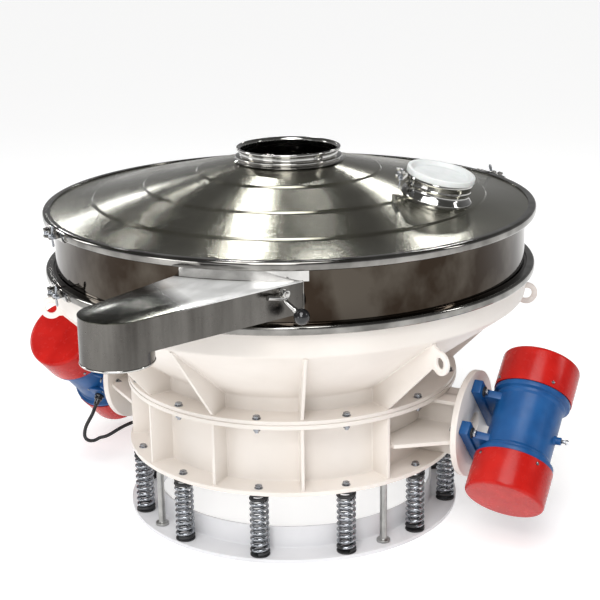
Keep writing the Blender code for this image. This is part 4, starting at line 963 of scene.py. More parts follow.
def coil_point(degrees):
    """A point of the coiled lead, after so many degrees clockwise from its left side."""
    outer, inner = COIL_R + LEAD_R + COIL_CLEAR, COIL_R - LEAD_R - COIL_CLEAR
    radius = COIL_ENTRY + (outer - COIL_ENTRY) * ease(degrees, *COIL_ARRIVES)
    radius += (inner - outer) * ease(degrees, *COIL_INWARDS)
    radius += (outer - inner) * ease(degrees, *COIL_OUTWARDS)
    height = LEAD_Z + (2 * LEAD_R + 2 * COIL_CLEAR) * ease(degrees, *COIL_CLIMBS)
    angle = math.radians(180.0 - degrees)
    return COIL_AT + Vector((radius * math.cos(angle), radius * math.sin(angle), height))


def relaxed(points):
    """A curve with its sharpest turns eased, as a stiff lead takes them; both its ends stay."""
    eased = list(points)
    for _ in range(EASE_PASSES):
        eased[KEEP_FIRST:-KEEP_LAST] = [(eased[i - 1] + eased[i] * 2 + eased[i + 1]) / 4
                                        for i in range(KEEP_FIRST, len(eased) - KEEP_LAST)]
    return eased


def make_lead():
    """Black lead of the left motor: a hanging loop, then down behind the base to a flat coil."""
    exit_point = motor_frame("left") @ Vector((BOX_AT[0], GLAND_FOOT + GLAND_LENGTH + GAP, BOX_AT[1]))
    out = Vector((0.0, -math.cos(math.radians(MOTOR_TILT)), -math.sin(math.radians(MOTOR_TILT))))
    route = [
        exit_point, exit_point + out * 0.015, exit_point + out * 0.030,
        Vector((-0.6035, -0.1017, 0.125)), Vector((-0.6075, -0.1059, 0.101)),
        Vector((-0.606, -0.1028, 0.087)), Vector((-0.600, -0.0921, 0.0772)),
        Vector((-0.592, -0.0778, 0.0754)), Vector((-0.583, -0.0666, 0.0806)),
        Vector((-0.567, -0.050, 0.0835)), Vector((-0.545, -0.005, 0.098)),
        Vector((-0.525, 0.050, 0.100)), Vector((-0.503, 0.120, 0.075)),
        Vector((-0.488, 0.180, 0.032)), Vector((-0.478, 0.225, LEAD_Z + 0.002)),
        Vector((-0.472, 0.262, LEAD_Z)), COIL_AT + Vector((-COIL_ENTRY, -0.020, LEAD_Z)),
    ]
    points = relaxed(smooth(route)) + [coil_point(d) for d in range(0, COIL_DEGREES, COIL_STEP)]
    lead = piece("motor_lead_cable", pipe(points, LEAD_R, 3), RUBBER, None, "motor_lead", "lead_coil")
    return lead


def make_glands():
    """Cable glands: hexagonal body, domed nut and a ribbed taper for the lead."""
    parts = [turned([(0.0, 0.0), (GLAND_R - 0.001, 0.0), (GLAND_R - 0.001, 0.016), (GLAND_R - 0.003, 0.0175),
                     (LEAD_R + 0.0022, GLAND_LENGTH), (0.0, GLAND_LENGTH)], 0.0008),
             rod(GLAND_R + 0.002, (0, 0, 0), (0, 0, 0.008), 6)]
    rib = rod(GLAND_R - 0.0002, (0, 0, 0.0095), (0, 0, 0.011), FINE)
    for i in range(3):
        parts.append(moved(rib, Matrix.Translation((0, 0, GLAND_RIB_PITCH * i))))
    mesh = joined(parts)
    for side in MOTOR_ANGLES:
        piece(f"cable_gland_{side}_body", moved(mesh, motor_frame(side) @ GLAND_TURN), PLASTIC, "deck",
              f"cable_gland_{side}")


make_camera()
make_floor()
for lamp in SOFT_BOXES:
    soft_box(*lamp)
make_sun()
make_room()
lead = make_lead()
make_glands()


# Base, posts and springs


def make_base():
    """Angle-section ring on the floor: a flange and an upright wall, with a fillet between."""
    inner, outer = BASE_WALL
    line = rounded([(BASE_R, BASE_PLATE), (BASE_R, 0.0), (inner, 0.0), (inner, BASE_WALL_TOP),
                    (outer, BASE_WALL_TOP), (outer, BASE_PLATE)],
                   [0.0012, 0.0012, 0.0012, 0.001, 0.001, 0.004])
    piece("base_ring_casting", spun(line), BASE_WHITE, "base", "base_ring")


def make_posts():
    """Stop posts: a turned bar on a round foot."""
    low = BASE_PLATE + GAP
    post = turned([(0.0, POST_TOP), (POST_R, POST_TOP), (POST_R, BASE_PLATE + POST_FOOT),
                   (POST_FOOT_R, BASE_PLATE + POST_FOOT), (POST_FOOT_R, low), (0.0, low)],
                  [0, 0.0015, 0.003, 0.001, 0.0005, 0])
    post.transform(Matrix.Translation((POST_CIRCLE_R, 0.0, 0.0)))
    step = POST_ANGLES[1] - POST_ANGLES[0]
    piece("stop_posts", set_round(post, POST_STEEL, len(POST_ANGLES), step, POST_ANGLES[0]), POST_STEEL,
          "base", *(f"stop_post_{i}" for i in range(1, len(POST_ANGLES) + 1)))


def spring_line(low, high):
    """Centre line of one spring: a closed turn at each end and an even pitch between."""
    mean = (SPRING_OD - SPRING_WIRE) / 2
    end_pitch = SPRING_WIRE + COIL_GAP
    pitch = (high - low - 2 * end_pitch) / (SPRING_TURNS - 2)
    points = []
    for i in range(int(SPRING_TURNS * SPRING_FACETS) + 1):
        turn = i / SPRING_FACETS
        height = low + min(turn, 1.0) * end_pitch + max(0.0, min(turn, SPRING_TURNS - 1) - 1.0) * pitch
        height += max(0.0, turn - (SPRING_TURNS - 1)) * end_pitch
        points.append((mean * math.cos(math.tau * turn), mean * math.sin(math.tau * turn), height))
    return points


def spring_ring(line, wire_r, material):
    """A wire along one spring's line, twelve times round the machine."""
    return grow(SPRING_SET, line_mesh(line), {
        "Wire radius": wire_r, "Circle radius": SPRING_CIRCLE_R,
        **ring(material, RIB_PLACES, RIB_PITCH, RIB_PITCH / 2)})


def make_springs(line):
    """Twelve zinc coil springs."""
    return piece("coil_springs", spring_ring(line, SPRING_WIRE / 2, ZINC), ZINC, None,
                 *(f"spring_{i:02d}" for i in range(1, RIB_PLACES + 1)))


def make_spring_rubber(line):
    """Black rubber at both ends of the springs: a pad, and a sleeve on the end turn."""
    sleeve_r = SPRING_WIRE / 2 + SLEEVE_WALL
    for end, body, part, low in (("lower", "base", line[:SLEEVE_POINTS], SPRING_LOW),
                                 ("upper", "deck", line[-SLEEVE_POINTS:], SPRING_HIGH - SPRING_PAD)):
        pad = turned([(0.0, low + SPRING_PAD), (SPRING_OD / 2, low + SPRING_PAD), (SPRING_OD / 2, low),
                      (0.0, low)], 0.001)
        pad.transform(Matrix.Translation((SPRING_CIRCLE_R, 0.0, 0.0)))
        pads = set_round(pad, RUBBER, RIB_PLACES, RIB_PITCH, RIB_PITCH / 2)
        piece(f"spring_rubber_{end}", joined([spring_ring(part, sleeve_r, RUBBER), pads]), RUBBER, body)


make_base()
make_posts()
spring_centre = spring_line(SPRING_LOW + SPRING_PAD + SPRING_WIRE / 2,
                            SPRING_HIGH - SPRING_PAD - SPRING_WIRE / 2)
springs = make_springs(spring_centre)
make_spring_rubber(spring_centre)


# Housing and bowl


def hex_bolt(top, length, nut=0.0):
    """Hex bolt down from the height top; nut is how far below its nut and washer sit, if it has them."""
    seat = top + WASHER
    face = seat + HEX_HEAD
    parts = [rod(WASHER_R, (0, 0, top), (0, 0, seat), 32, 0.0003),
             rod(HEX_R, (0, 0, seat), (0, 0, face), 6, 0.0006),
             rod(CROWN_R, (0, 0, face - 0.0010), (0, 0, face + 0.0006), 24, 0.0004)]
    if nut:
        seat = top - nut - WASHER
        parts += [rod(WASHER_R, (0, 0, top - nut), (0, 0, seat), 32, 0.0003),
                  rod(HEX_R, (0, 0, seat), (0, 0, seat - HEX_NUT), 6, 0.0006)]
    parts.append(rod(SHANK_R, (0, 0, top), (0, 0, top - length), 20))
    return joined(parts)


def make_housing():
    """Short drum between two flanges, with upright ribs all round but at the motors."""
    low, high = HOUSING_Z, HOUSING_TOP
    line = rounded([
        (HOUSING_FLANGE_R, high), (HOUSING_FLANGE_R, high - HOUSING_PLATE), (WALL_R, high - HOUSING_PLATE),
        (WALL_R, low + HOUSING_PLATE), (HOUSING_FLANGE_R, low + HOUSING_PLATE), (HOUSING_FLANGE_R, low),
        (BORE_R, low), (BORE_R, high),
    ], [0.0012, 0.0012, 0.004, 0.004, 0.0012, 0.0012, 0.001, 0.001])
    reach = HOUSING_FLANGE_R - RIB_INSET
    rib_low, rib_high = low + HOUSING_PLATE - SINK, high - HOUSING_PLATE + SINK
    rib = block((reach - WALL_R + BITE, RIB_PLATE, rib_high - rib_low),
                ((reach + WALL_R - BITE) / 2, 0.0, (rib_low + rib_high) / 2), 0.001)
    seams = []
    for y in (-RIB_PLATE / 2, RIB_PLATE / 2):
        seams.append(straight((WALL_R, y, rib_low), (WALL_R, y, rib_high)))
        for z in (rib_low + SINK, rib_high - SINK):
            seams.append(straight((WALL_R, y, z), (reach, y, z)))
    piece("housing_drum", spun(line), CREAM, "deck", "spring_housing")
    piece("housing_ribs", joined([set_round(rib, CREAM, *BESIDE_MOTORS),
                                  weld(seams, RIB_BEAD, CREAM, *BESIDE_MOTORS)]), CREAM, "deck")


def cone_r(height):
    """Outer radius of the bowl's cone at a height."""
    return WALL_R + (height - CONE_Z) / (BAND_Z - CONE_Z) * (BAND_R - WALL_R)


def make_bowl():
    """Welded bowl: flange, upright neck, cone, band and turned-out rim."""
    line = rounded([
        (RIM_R, BOWL_TOP), (RIM_R, BOWL_TOP - RIM_PLATE), (BAND_R, BOWL_TOP - RIM_PLATE), (BAND_R, BAND_Z),
        (WALL_R, CONE_Z), (WALL_R, BOWL_FLANGE_TOP), (BOWL_FLANGE_R, BOWL_FLANGE_TOP),
        (BOWL_FLANGE_R, BOWL_Z), (BORE_R, BOWL_Z), (BORE_R, CONE_Z + 0.002),
        (BAND_R - BOWL_PLATE, BAND_Z + 0.002), (BAND_R - BOWL_PLATE, BOWL_TOP),
    ], [0.001, 0.001, 0.004, 0.012, 0.010, 0.004, 0.0012, 0.0012, 0.001, 0.010, 0.012, 0.001])
    piece("bowl_shell", spun(line), CREAM, "deck", "bowl")


def gusset_lines():
    """The gussets' outlines in radius and height, without an eye and with one."""
    foot = (BOWL_FLANGE_R - RIB_INSET, BOWL_FLANGE_TOP - SINK)
    root = (WALL_R - BITE, foot[1])
    inside = [(cone_r(GUSSET_TOP) - 0.003, GUSSET_TOP), (WALL_R - BITE, CONE_Z)]
    plain = [root, foot, (cone_r(GUSSET_TOP) + 0.004, GUSSET_TOP)] + inside
    neck = (EYE_AT[0] - EYE_R - 0.0005, EYE_AT[1] - EYE_R + 0.008)
    lifting = [root, foot, neck] + arc(EYE_AT, EYE_R, -132.0, 100.0, 28)
    lifting += [(BAND_R - BITE, BAND_Z - 0.012)] + inside
    return plain, lifting


def make_gussets():
    """Gusset plates under the cone, four of them with a lifting eye, and their weld beads."""
    plain, lifting = gusset_lines()
    plain_plate = moved(plate([plain], RIB_PLATE, 0.001), UPRIGHT)
    eye_plate = moved(plate([lifting, circle(EYE_AT, EYE_HOLE_R, 28)], RIB_PLATE, 0.001), UPRIGHT)
    seams = []
    for y in (-RIB_PLATE / 2, RIB_PLATE / 2):
        seams.append(straight((WALL_R, y, BOWL_FLANGE_TOP), (WALL_R, y, CONE_Z)))
        seams.append(straight((WALL_R, y, CONE_Z), (cone_r(BAND_Z - 0.006), y, BAND_Z - 0.006)))
        seams.append(straight((WALL_R, y, BOWL_FLANGE_TOP), (BOWL_FLANGE_R - RIB_INSET, y, BOWL_FLANGE_TOP)))
    piece("bowl_gussets", joined([
        set_round(plain_plate, CREAM, 3, RIB_PITCH, 2 * RIB_PITCH, 2),
        weld(seams, GUSSET_BEAD, CREAM, *BESIDE_MOTORS, seed=2.0),
    ]), CREAM, "deck")
    piece("lifting_eye_gussets", set_round(eye_plate, CREAM, 2, 2 * RIB_PITCH, -RIB_PITCH, 2), CREAM, "deck")


def make_flange_bolts():
    """Bolts through the middle flanges, and the bolts that hold the spring seats."""
    through = moved(hex_bolt(BOWL_FLANGE_TOP, 0.036, BOWL_FLANGE_TOP - HOUSING_TOP + HOUSING_PLATE),
                    Matrix.Translation((FLANGE_BOLT_R, 0.0, 0.0)))
    seat = moved(hex_bolt(HOUSING_Z + HOUSING_PLATE, 0.009), Matrix.Translation((SPRING_CIRCLE_R, 0.0, 0.0)))
    bolts = [set_round(bolt, ZINC, RIB_PLACES, RIB_PITCH, RIB_PITCH / 2) for bolt in (through, seat)]
    piece("flange_bolts", joined(bolts), ZINC, "deck")


make_housing()
make_bowl()
make_gussets()
make_flange_bolts()


# Motors and brackets


def make_bracket(side):
    """Bracket: round motor plate on an upright web, with a level shelf and a tongue, all welded."""
    inner_face, outer_face = PLATE_X
    low, high = HOUSING_Z + HOUSING_PLATE + GAP, HOUSING_TOP - HOUSING_PLATE - GAP
    disc = moved(plate([circle((0, 0), PLATE_R, MEDIUM), circle((0, 0), PLATE_HOLE_R, 40)],
                       outer_face - inner_face, 0.0012),
                 Matrix.Translation(((inner_face + outer_face) / 2, 0.0, MOTOR_Z)) @ turned_about("Y", 90.0))
    start, end = WALL_R - BITE, inner_face + BITE
    middle = (low + high) / 2
    web = block((end - start, WEB_SHEET, high - low), ((start + end) / 2, 0.0, middle), 0.001)
    corner_turn = math.radians(RIB_PITCH - SHELF_TRIM)
    corner = (SHELF_CORNER_R * math.cos(corner_turn), SHELF_CORNER_R * math.sin(corner_turn))
    wall = arc((0.0, 0.0), WALL_R * 0.998, RIB_PITCH - SHELF_TRIM, SHELF_TRIM - RIB_PITCH, 16)
    shelf_faces = (middle - SHELF_SHEET / 2, middle + SHELF_SHEET / 2)
    shelf = level_plate([[(corner[0], -corner[1]), (end, -SHELF_HALF), (end, SHELF_HALF), corner] + wall],
                        *shelf_faces, 0.001)
    tongue = block((end - start, TONGUE_WIDTH, SHELF_SHEET),
                   ((start + end) / 2, 0.0, high - SHELF_SHEET / 2), 0.001)
    seams = []
    for y in (-WEB_SHEET / 2, WEB_SHEET / 2):
        seams.append(straight((start, y, low), (start, y, high)))
        seams.append(straight((inner_face, y, low), (inner_face, y, high)))
        for z in shelf_faces:
            seams.append(straight((start, y, z), (inner_face, y, z)))
    for z in shelf_faces:
        seams.append(straight((inner_face, -SHELF_HALF + BITE, z), (inner_face, SHELF_HALF - BITE, z)))
    mesh = joined([disc, web, shelf, tongue, weld(seams, BRACKET_BEAD, CREAM, seed=3.0)])
    piece(f"bracket_{side}", moved(mesh, at_angle(MOTOR_ANGLES[side])), CREAM, "deck",
          f"motor_bracket_{side}")


def foot_corners():
    """Where the foot bolts stand across the foot rails."""
    return [(y, z) for y in (-FOOT_SPAN_Y, FOOT_SPAN_Y) for z in (-FOOT_SPAN_Z, FOOT_SPAN_Z)]


def foot_bolts(face):
    """Foot bolts along +X: head over the foot, nut and washer behind the bracket's plate."""
    seat = face + FOOT_WASHER
    back = PLATE_X[0] - MOTOR_X
    nut = back - BACK_WASHER
    bolts = []
    for y, z in foot_corners():
        bolts += [rod(HEX_R, (seat, y, z), (seat + FOOT_HEAD, y, z), 6, 0.0006),
                  rod(FOOT_SHANK_R, (back - 0.016, y, z), (seat, y, z), 20),
                  rod(HEX_R, (nut - HEX_NUT, y, z), (nut, y, z), 6, 0.0006),
                  rod(BACK_WASHER_R, (nut, y, z), (back, y, z), 32, 0.0003)]
    return bolts


def casing():
    """The cast casing's tube, with a rim at both ends."""
    shoulder = MOTOR_HALF - MOTOR_RIM
    half = [(0.020, MOTOR_HALF), (MOTOR_RIM_R, MOTOR_HALF), (MOTOR_RIM_R, shoulder),
            (MOTOR_R + 0.004, shoulder - 0.003), (MOTOR_R + 0.004, shoulder - 0.010),
            (MOTOR_R, shoulder - 0.016)]
    bends = [0, 0.002, 0.002, 0.003, 0.002, 0.004]
    line = half + [(r, -z) for r, z in reversed(half)]
    return spun(rounded(line, bends + bends[::-1]), MEDIUM)


def foot_rails(face):
    """Two foot rails, each on a saddle that holds the casing."""
    parts = []
    end_y = FOOT_SPAN_Y - 0.004
    root, foot, crest = face + 0.004, face + FOOT_HEIGHT + 0.006, face + SADDLE_DEPTH
    outline = rounded([(root, -end_y), (root, end_y), (foot, end_y), (crest, 0.058), (crest, -0.058),
                       (foot, -end_y)], 0.006)
    for z in (-FOOT_SPAN_Z, FOOT_SPAN_Z):
        parts.append(block((FOOT_HEIGHT, 2 * (FOOT_SPAN_Y + FOOT_OVER), FOOT_SIZE),
                           (face + FOOT_HEIGHT / 2, 0.0, z), 0.003))
        parts.append(moved(plate([outline], SADDLE_PLATE, 0.002), Matrix.Translation((0.0, 0.0, z))))
    return parts


def terminal_box():
    """Terminal box and its wider lid."""
    return [block((BOX_SIZE[0] - 0.006, BOX_SIZE[1], BOX_SIZE[2] - 0.006),
                  (BOX_AT[0], BOX_FOOT + BOX_SIZE[1] / 2 - 0.002, BOX_AT[1]), 0.004),
            block((BOX_SIZE[0], 0.009, BOX_SIZE[2]),
                  (BOX_AT[0], BOX_FOOT + BOX_SIZE[1] - 0.0045, BOX_AT[1]), 0.002)]


def box_screws():
    """A screw at each corner of the terminal box's lid."""
    screws = []
    low = BOX_FOOT + BOX_SIZE[1] - 0.001
    for x in (-1, 1):
        for z in (-1, 1):
            at_x = BOX_AT[0] + x * (BOX_SIZE[0] / 2 - SCREW_INSET)
            at_z = BOX_AT[1] + z * (BOX_SIZE[2] / 2 - SCREW_INSET)
            screws.append(rod(0.0036, (at_x, low, at_z), (at_x, low + 0.003, at_z), 20, 0.0008))
    return screws


def make_motor_body(side):
    """Cast casing with its foot rails, terminal box and lifting boss, and the hardware on it."""
    place = motor_frame(side)
    face = PLATE_X[1] - MOTOR_X + GAP
    foot = face + FOOT_HEIGHT
    boss = turned([(0.0, 0.016), (0.0095, 0.016), (0.0095, 0.004), (0.015, -0.004), (0.0, -0.004)],
                  0.0015, 32)
    boss.transform(Matrix.Translation((MOTOR_R, 0.0, LIFT_Z)) @ turned_about("Y", 90.0))
    parts = [casing()] + foot_rails(face) + terminal_box() + [boss]
    piece(f"motor_casing_{side}", moved(joined(parts), place), BLUE, "deck", f"motor_body_{side}")

    stud = MOTOR_R + 0.016
    eye = plate([circle((0, 0), 0.0062, 32), circle((0, 0), 0.0034, 24)], 0.0036, 0.0012)
    eye.transform(Matrix.Translation((stud + 0.014, 0.0, LIFT_Z)) @ turned_about("X", 90.0))
    hardware = foot_bolts(foot) + [rod(0.0042, (stud, 0, LIFT_Z), (stud + 0.010, 0, LIFT_Z), 20), eye]
    piece(f"motor_bolts_{side}", moved(joined(hardware + box_screws()), place), ZINC, "deck")
    washers = [rod(FOOT_WASHER_R, (foot, y, z), (foot + FOOT_WASHER, y, z), 32, 0.0008)
               for y, z in foot_corners()]
    piece(f"motor_washers_{side}", moved(joined(washers), place), RUBBER, "deck")


def make_motor_caps(side):
    """Two drawn caps over the eccentric weights, each held by small screws near its rim."""
    start, end = MOTOR_HALF + GAP, MOTOR_HALF + CAP_LENGTH
    inner = CAP_R - CAP_SHEET
    cup = turned([(0.0, end), (CAP_R, end), (CAP_R, start), (inner, start), (inner, end - CAP_SHEET),
                  (0.0, end - CAP_SHEET)], [0, 0.010, 0.0008, 0.0008, 0.008, 0], CAP_SIDES, steps=6)
    at = start + CAP_SCREW_AT
    screw = joined([rod(0.0042, (CAP_R - 0.001, 0, at), (CAP_R + 0.0022, 0, at), 20, 0.0008),
                    rod(0.0022, (CAP_R - 0.001, 0, at), (CAP_R + 0.0026, 0, at), 6, 0.0003)])
    screws = set_round(screw, ZINC, 4, 90.0, 40.0)
    for label, flip in (("upper", 0.0), ("lower", 180.0)):
        place = motor_frame(side) @ turned_about("X", flip)
        piece(f"weight_cap_{side}_{label}", moved(cup, place), RED, "deck", f"motor_cap_{side}_{label}")
        piece(f"cap_screws_{side}_{label}", moved(screws, place), ZINC, "deck")


for motor in MOTOR_ANGLES:
    make_bracket(motor)
    make_motor_body(motor)
    make_motor_caps(motor)
    dress(f"motor_shaft_{motor}", DARK_STEEL)
    for weight in ("upper", "lower"):
        dress(f"eccentric_{motor}_{weight}", DARK_STEEL)


# Drum, spout and gate


def spout_walls():
    """Where the straight walls meet the drum and the nose circle: front wall, back wall."""
    nose = Vector(NOSE)
    walls = []
    for angle, side in ((SPOUT_ANGLES[1], 1.0), (SPOUT_ANGLES[0], -1.0)):
        start = Vector((DRUM_R * math.cos(math.radians(angle)), DRUM_R * math.sin(math.radians(angle))))
        to_nose = nose - start
        heading = math.atan2(to_nose.y, to_nose.x) + side * math.asin(NOSE_R / to_nose.length)
        reach = math.sqrt(to_nose.length ** 2 - NOSE_R ** 2)
        walls.append((start, start + reach * Vector((math.cos(heading), math.sin(heading)))))
    return walls


FRONT_WALL, BACK_WALL = spout_walls()
FRONT_DIRECTION = (FRONT_WALL[1] - FRONT_WALL[0]).normalized()


def chute_path(inset, drum_reach):
    """The chute in plan: along its front wall, round the nose and back, ends reaching into the drum."""
    nose = Vector(NOSE)
    front_out = (FRONT_WALL[1] - nose).normalized()
    back_out = (BACK_WALL[1] - nose).normalized()
    back_along = (BACK_WALL[0] - BACK_WALL[1]).normalized()
    front_turn = math.degrees(math.atan2(front_out.y, front_out.x))
    back_turn = math.degrees(math.atan2(back_out.y, back_out.x)) % 360.0 - 360.0
    start = FRONT_WALL[0] - front_out * inset - FRONT_DIRECTION * drum_reach
    end = BACK_WALL[0] - back_out * inset + back_along * drum_reach
    return [tuple(start)] + arc(NOSE, NOSE_R - inset, front_turn, back_turn, 40) + [tuple(end)]


def outside_drum(mesh):
    """Trim a part of the spout to the drum's wall."""
    line = [(0.0, TRIM_HIGH), (DRUM_R, TRIM_HIGH), (DRUM_R, TRIM_LOW), (0.0, TRIM_LOW)]
    return cut(mesh, spun(line, closed=False))


def make_drum():
    """Polished drum with turned-out rims and the mouth of the spout."""
    inner = DRUM_R - DRUM_WALL
    line = rounded([
        (RIM_R, DRUM_TOP), (RIM_R, DRUM_TOP - RIM_PLATE), (DRUM_R, DRUM_TOP - RIM_PLATE),
        (DRUM_R, DRUM_Z + RIM_PLATE), (RIM_R, DRUM_Z + RIM_PLATE), (RIM_R, DRUM_Z), (inner, DRUM_Z),
        (inner, DRUM_TOP),
    ], [0.001, 0.001, 0.003, 0.003, 0.001, 0.001, 0.001, 0.001])
    mouth = level_plate([chute_path(SPOUT_SHEET, MOUTH_INTO_DRUM)], SPOUT_LOW + SPOUT_SHEET,
                        SPOUT_HIGH - SPOUT_SHEET)
    piece("drum_shell", cut(spun(line), mouth), MIRROR_PAINTED_REFLECTIONS, "deck", "sieve_drum")


def make_spout():
    """Tangential chute of folded sheet: wall, floor and roof, and the round nose that points down."""
    strip = chute_path(0.0, INTO_DRUM) + chute_path(SPOUT_SHEET, INTO_DRUM)[::-1]
    hole = circle(NOSE, NOSE_R - SPOUT_SHEET, MEDIUM)
    wall = level_plate([strip], SPOUT_LOW, SPOUT_HIGH - 0.0006)
    pipe_ring = level_plate([circle(NOSE, NOSE_R, MEDIUM), hole], NOSE_LOW, SPOUT_LOW + 0.0005)
    floor = level_plate([chute_path(0.0005, INTO_DRUM), hole], SPOUT_LOW, SPOUT_LOW + SPOUT_SHEET)
    roof = level_plate([chute_path(-0.0005, INTO_DRUM)], SPOUT_HIGH - SPOUT_SHEET, SPOUT_HIGH, 0.001)
    piece("spout_wall", joined([outside_drum(wall), pipe_ring, outside_drum(floor)]), SATIN_PAINTED_REFLECTIONS, "deck",
          "discharge_spout")
    # The roof's finish paints a bright reflection beside the drum and a dark one towards the nose.
    piece("spout_roof", outside_drum(roof), roof_painted_reflection_finish(), "deck")


def make_spout_trim():
    """Rolled rim under the nose, the bosses of the gate's shaft, and the welds along the drum."""
    rim = spun(arc((NOSE_R - 0.001, NOSE_LOW + NOSE_RIM_R), NOSE_RIM_R, 0.0, 330.0, 11), MEDIUM)
    parts = [moved(rim, Matrix.Translation((*NOSE, 0.0)))]
    back = back_wall_on_shaft()
    for low, high in ((-0.001, GATE_BOSS), (back - GATE_BOSS, back + 0.006)):
        parts.append(moved(rod(GATE_BOSS_R, (0, 0, low), (0, 0, high), 32, 0.001), gate_frame()))
    piece("spout_trim", joined(parts), BRIGHT, "deck")
    seams = []
    for wall in (FRONT_WALL, BACK_WALL):
        seams.append(straight((*wall[0], SPOUT_HIGH - 0.001), (*wall[0], SPOUT_LOW)))
    for z in (SPOUT_HIGH, SPOUT_LOW):
        seams.append([(x, y, z) for x, y in arc((0, 0), DRUM_R, *SPOUT_ANGLES, 60)])
    piece("spout_seams", weld(seams, SEAM_BEAD, RING_PAINTED_DARK_REFLECTION, seed=4.0), RING_PAINTED_DARK_REFLECTION, "deck")


def make_painted_glare_band():
    """Brighter strip of the drum above the spout, on facets of the drum: a painted highlight standing in for
    a bright reflection.
    """
    inner, outer = DRUM_R - 0.001, DRUM_R + GLARE_PROUD
    low, high = SPOUT_HIGH - 0.001, DRUM_TOP - RIM_PLATE - 0.001
    facet = 360.0 / ROUND
    band = spun([(inner, low), (outer, low), (outer, high), (inner, high)],
                start=GLARE_FIRST * facet, sweep=GLARE_FACETS * facet)
    piece("painted_glare_band", band, BRIGHT, "deck")


def gate_frame():
    """Frame of the gate shaft: X towards the drum, Y up, Z out of the front wall."""
    outwards = Vector((-FRONT_DIRECTION.y, FRONT_DIRECTION.x, 0.0))
    upwards = Vector((0.0, 0.0, 1.0))
    at = FRONT_WALL[0] + FRONT_DIRECTION * GATE_AT
    axes = Matrix((upwards.cross(outwards), upwards, outwards)).transposed().to_4x4()
    return Matrix.Translation((*at, SPOUT_HIGH - SPOUT_SHEET - GATE_UNDER_ROOF)) @ axes


def back_wall_on_shaft():
    """Where the gate shaft meets the back wall: its Z in the gate's frame."""
    to_gate = gate_frame().inverted()
    start, end = (to_gate @ Vector((*point, 0.0)) for point in BACK_WALL)
    share = -start.x / (end.x - start.x)
    return start.z + share * (end.z - start.z)


def make_gate():
    """Lever and its short tail on the hub of the gate's shaft, and the ball knob on a ferrule."""
    place = gate_frame()
    hub_low = GATE_BOSS + GAP
    hub_mid, hub_high = hub_low + HUB_LENGTH / 2, hub_low + HUB_LENGTH
    knob_at = Vector(KNOB_AT)
    elbow = Vector((0.0, -HUB_R - LEVER_R, hub_mid))
    lean = (knob_at - elbow).normalized()
    bend = smooth([Vector((0.0, -HUB_R * 0.6, hub_mid)), elbow, elbow.lerp(knob_at, 0.4),
                   knob_at - lean * KNOB_R * 0.8], 8)
    lever = joined([
        rod(HUB_R, (0, 0, hub_low), (0, 0, hub_high), 40, 0.0015),
        rod(0.0062, (0, 0, hub_high), (0, 0, hub_high + 0.004), 6, 0.0006),
        pipe(bend, LEVER_R),
        pipe([Vector((0.0, -HUB_R, hub_mid)), Vector((-LEVER_TAIL, 0.001, hub_mid + 0.002))], LEVER_R),
        rod(0.0064, knob_at - lean * (KNOB_R + 0.006), knob_at - lean * KNOB_R * 0.8, 32, 0.001),
    ])
    piece("gate_handle", moved(lever, place), BRIGHT, "gate", "gate_lever")
    piece("gate_knob", moved(ball(KNOB_R, knob_at), place), PLASTIC, "gate", "lever_knob")
    dress("gate_flap", BRUSHED)


make_drum()
make_spout()
make_spout_trim()
make_painted_glare_band()
make_gate()
dress("screen_frame", BRUSHED)
dress("screen_mesh", WOVEN)
dress("cover_gasket", SILICONE)


# Clamp rings and swing bolts


def clamp_section(z):
    """Channel of a clamp ring, open inwards."""
    top, low, inner = z + CLAMP_HALF, z - CLAMP_HALF, CLAMP_R - CLAMP_SHEET
    line = [(CLAMP_R, top), (CLAMP_R, low), (CLAMP_INNER_R, low), (CLAMP_INNER_R, low + CLAMP_SHEET),
            (inner, low + CLAMP_SHEET), (inner, top - CLAMP_SHEET), (CLAMP_INNER_R, top - CLAMP_SHEET),
            (CLAMP_INNER_R, top)]
    return rounded(line, [0.0085, 0.0085, 0.0008, 0.0008, 0.002, 0.002, 0.0008, 0.0008], steps=7)


def lug(start_x, end_x, y, half_height, slot_start):
    """A lug on a ring's end, with the slot for the bolt open outwards."""
    solid = block((end_x - start_x, LUG_LENGTH, 2 * half_height), ((start_x + end_x) / 2, y, 0.0), 0)
    slot = block((LUG_OUT, LUG_LENGTH + 0.002, LUG_SLOT), (slot_start + LUG_OUT / 2, y, 0.0), 0)
    return soften(cut(solid, slot), 0.0012)


def lug_pair(half_height, bite):
    """Forked lug with its pin, and the notched lug, in the joint's frame: X outwards, Y along."""
    start = -BOLT_OUT - bite
    pin_half = half_height + 0.002
    forked = joined([
        lug(start, start + LUG_OUT + bite, -PIN_Y, half_height, -EYELET_R - SLOT_PLAY),
        rod(PIN_R, (0, -PIN_Y, -pin_half), (0, -PIN_Y, pin_half), 24, 0.0006),
    ])
    return forked, lug(start, NOTCH_LIP, PIN_Y, half_height, -BOLT_R - SLOT_PLAY)


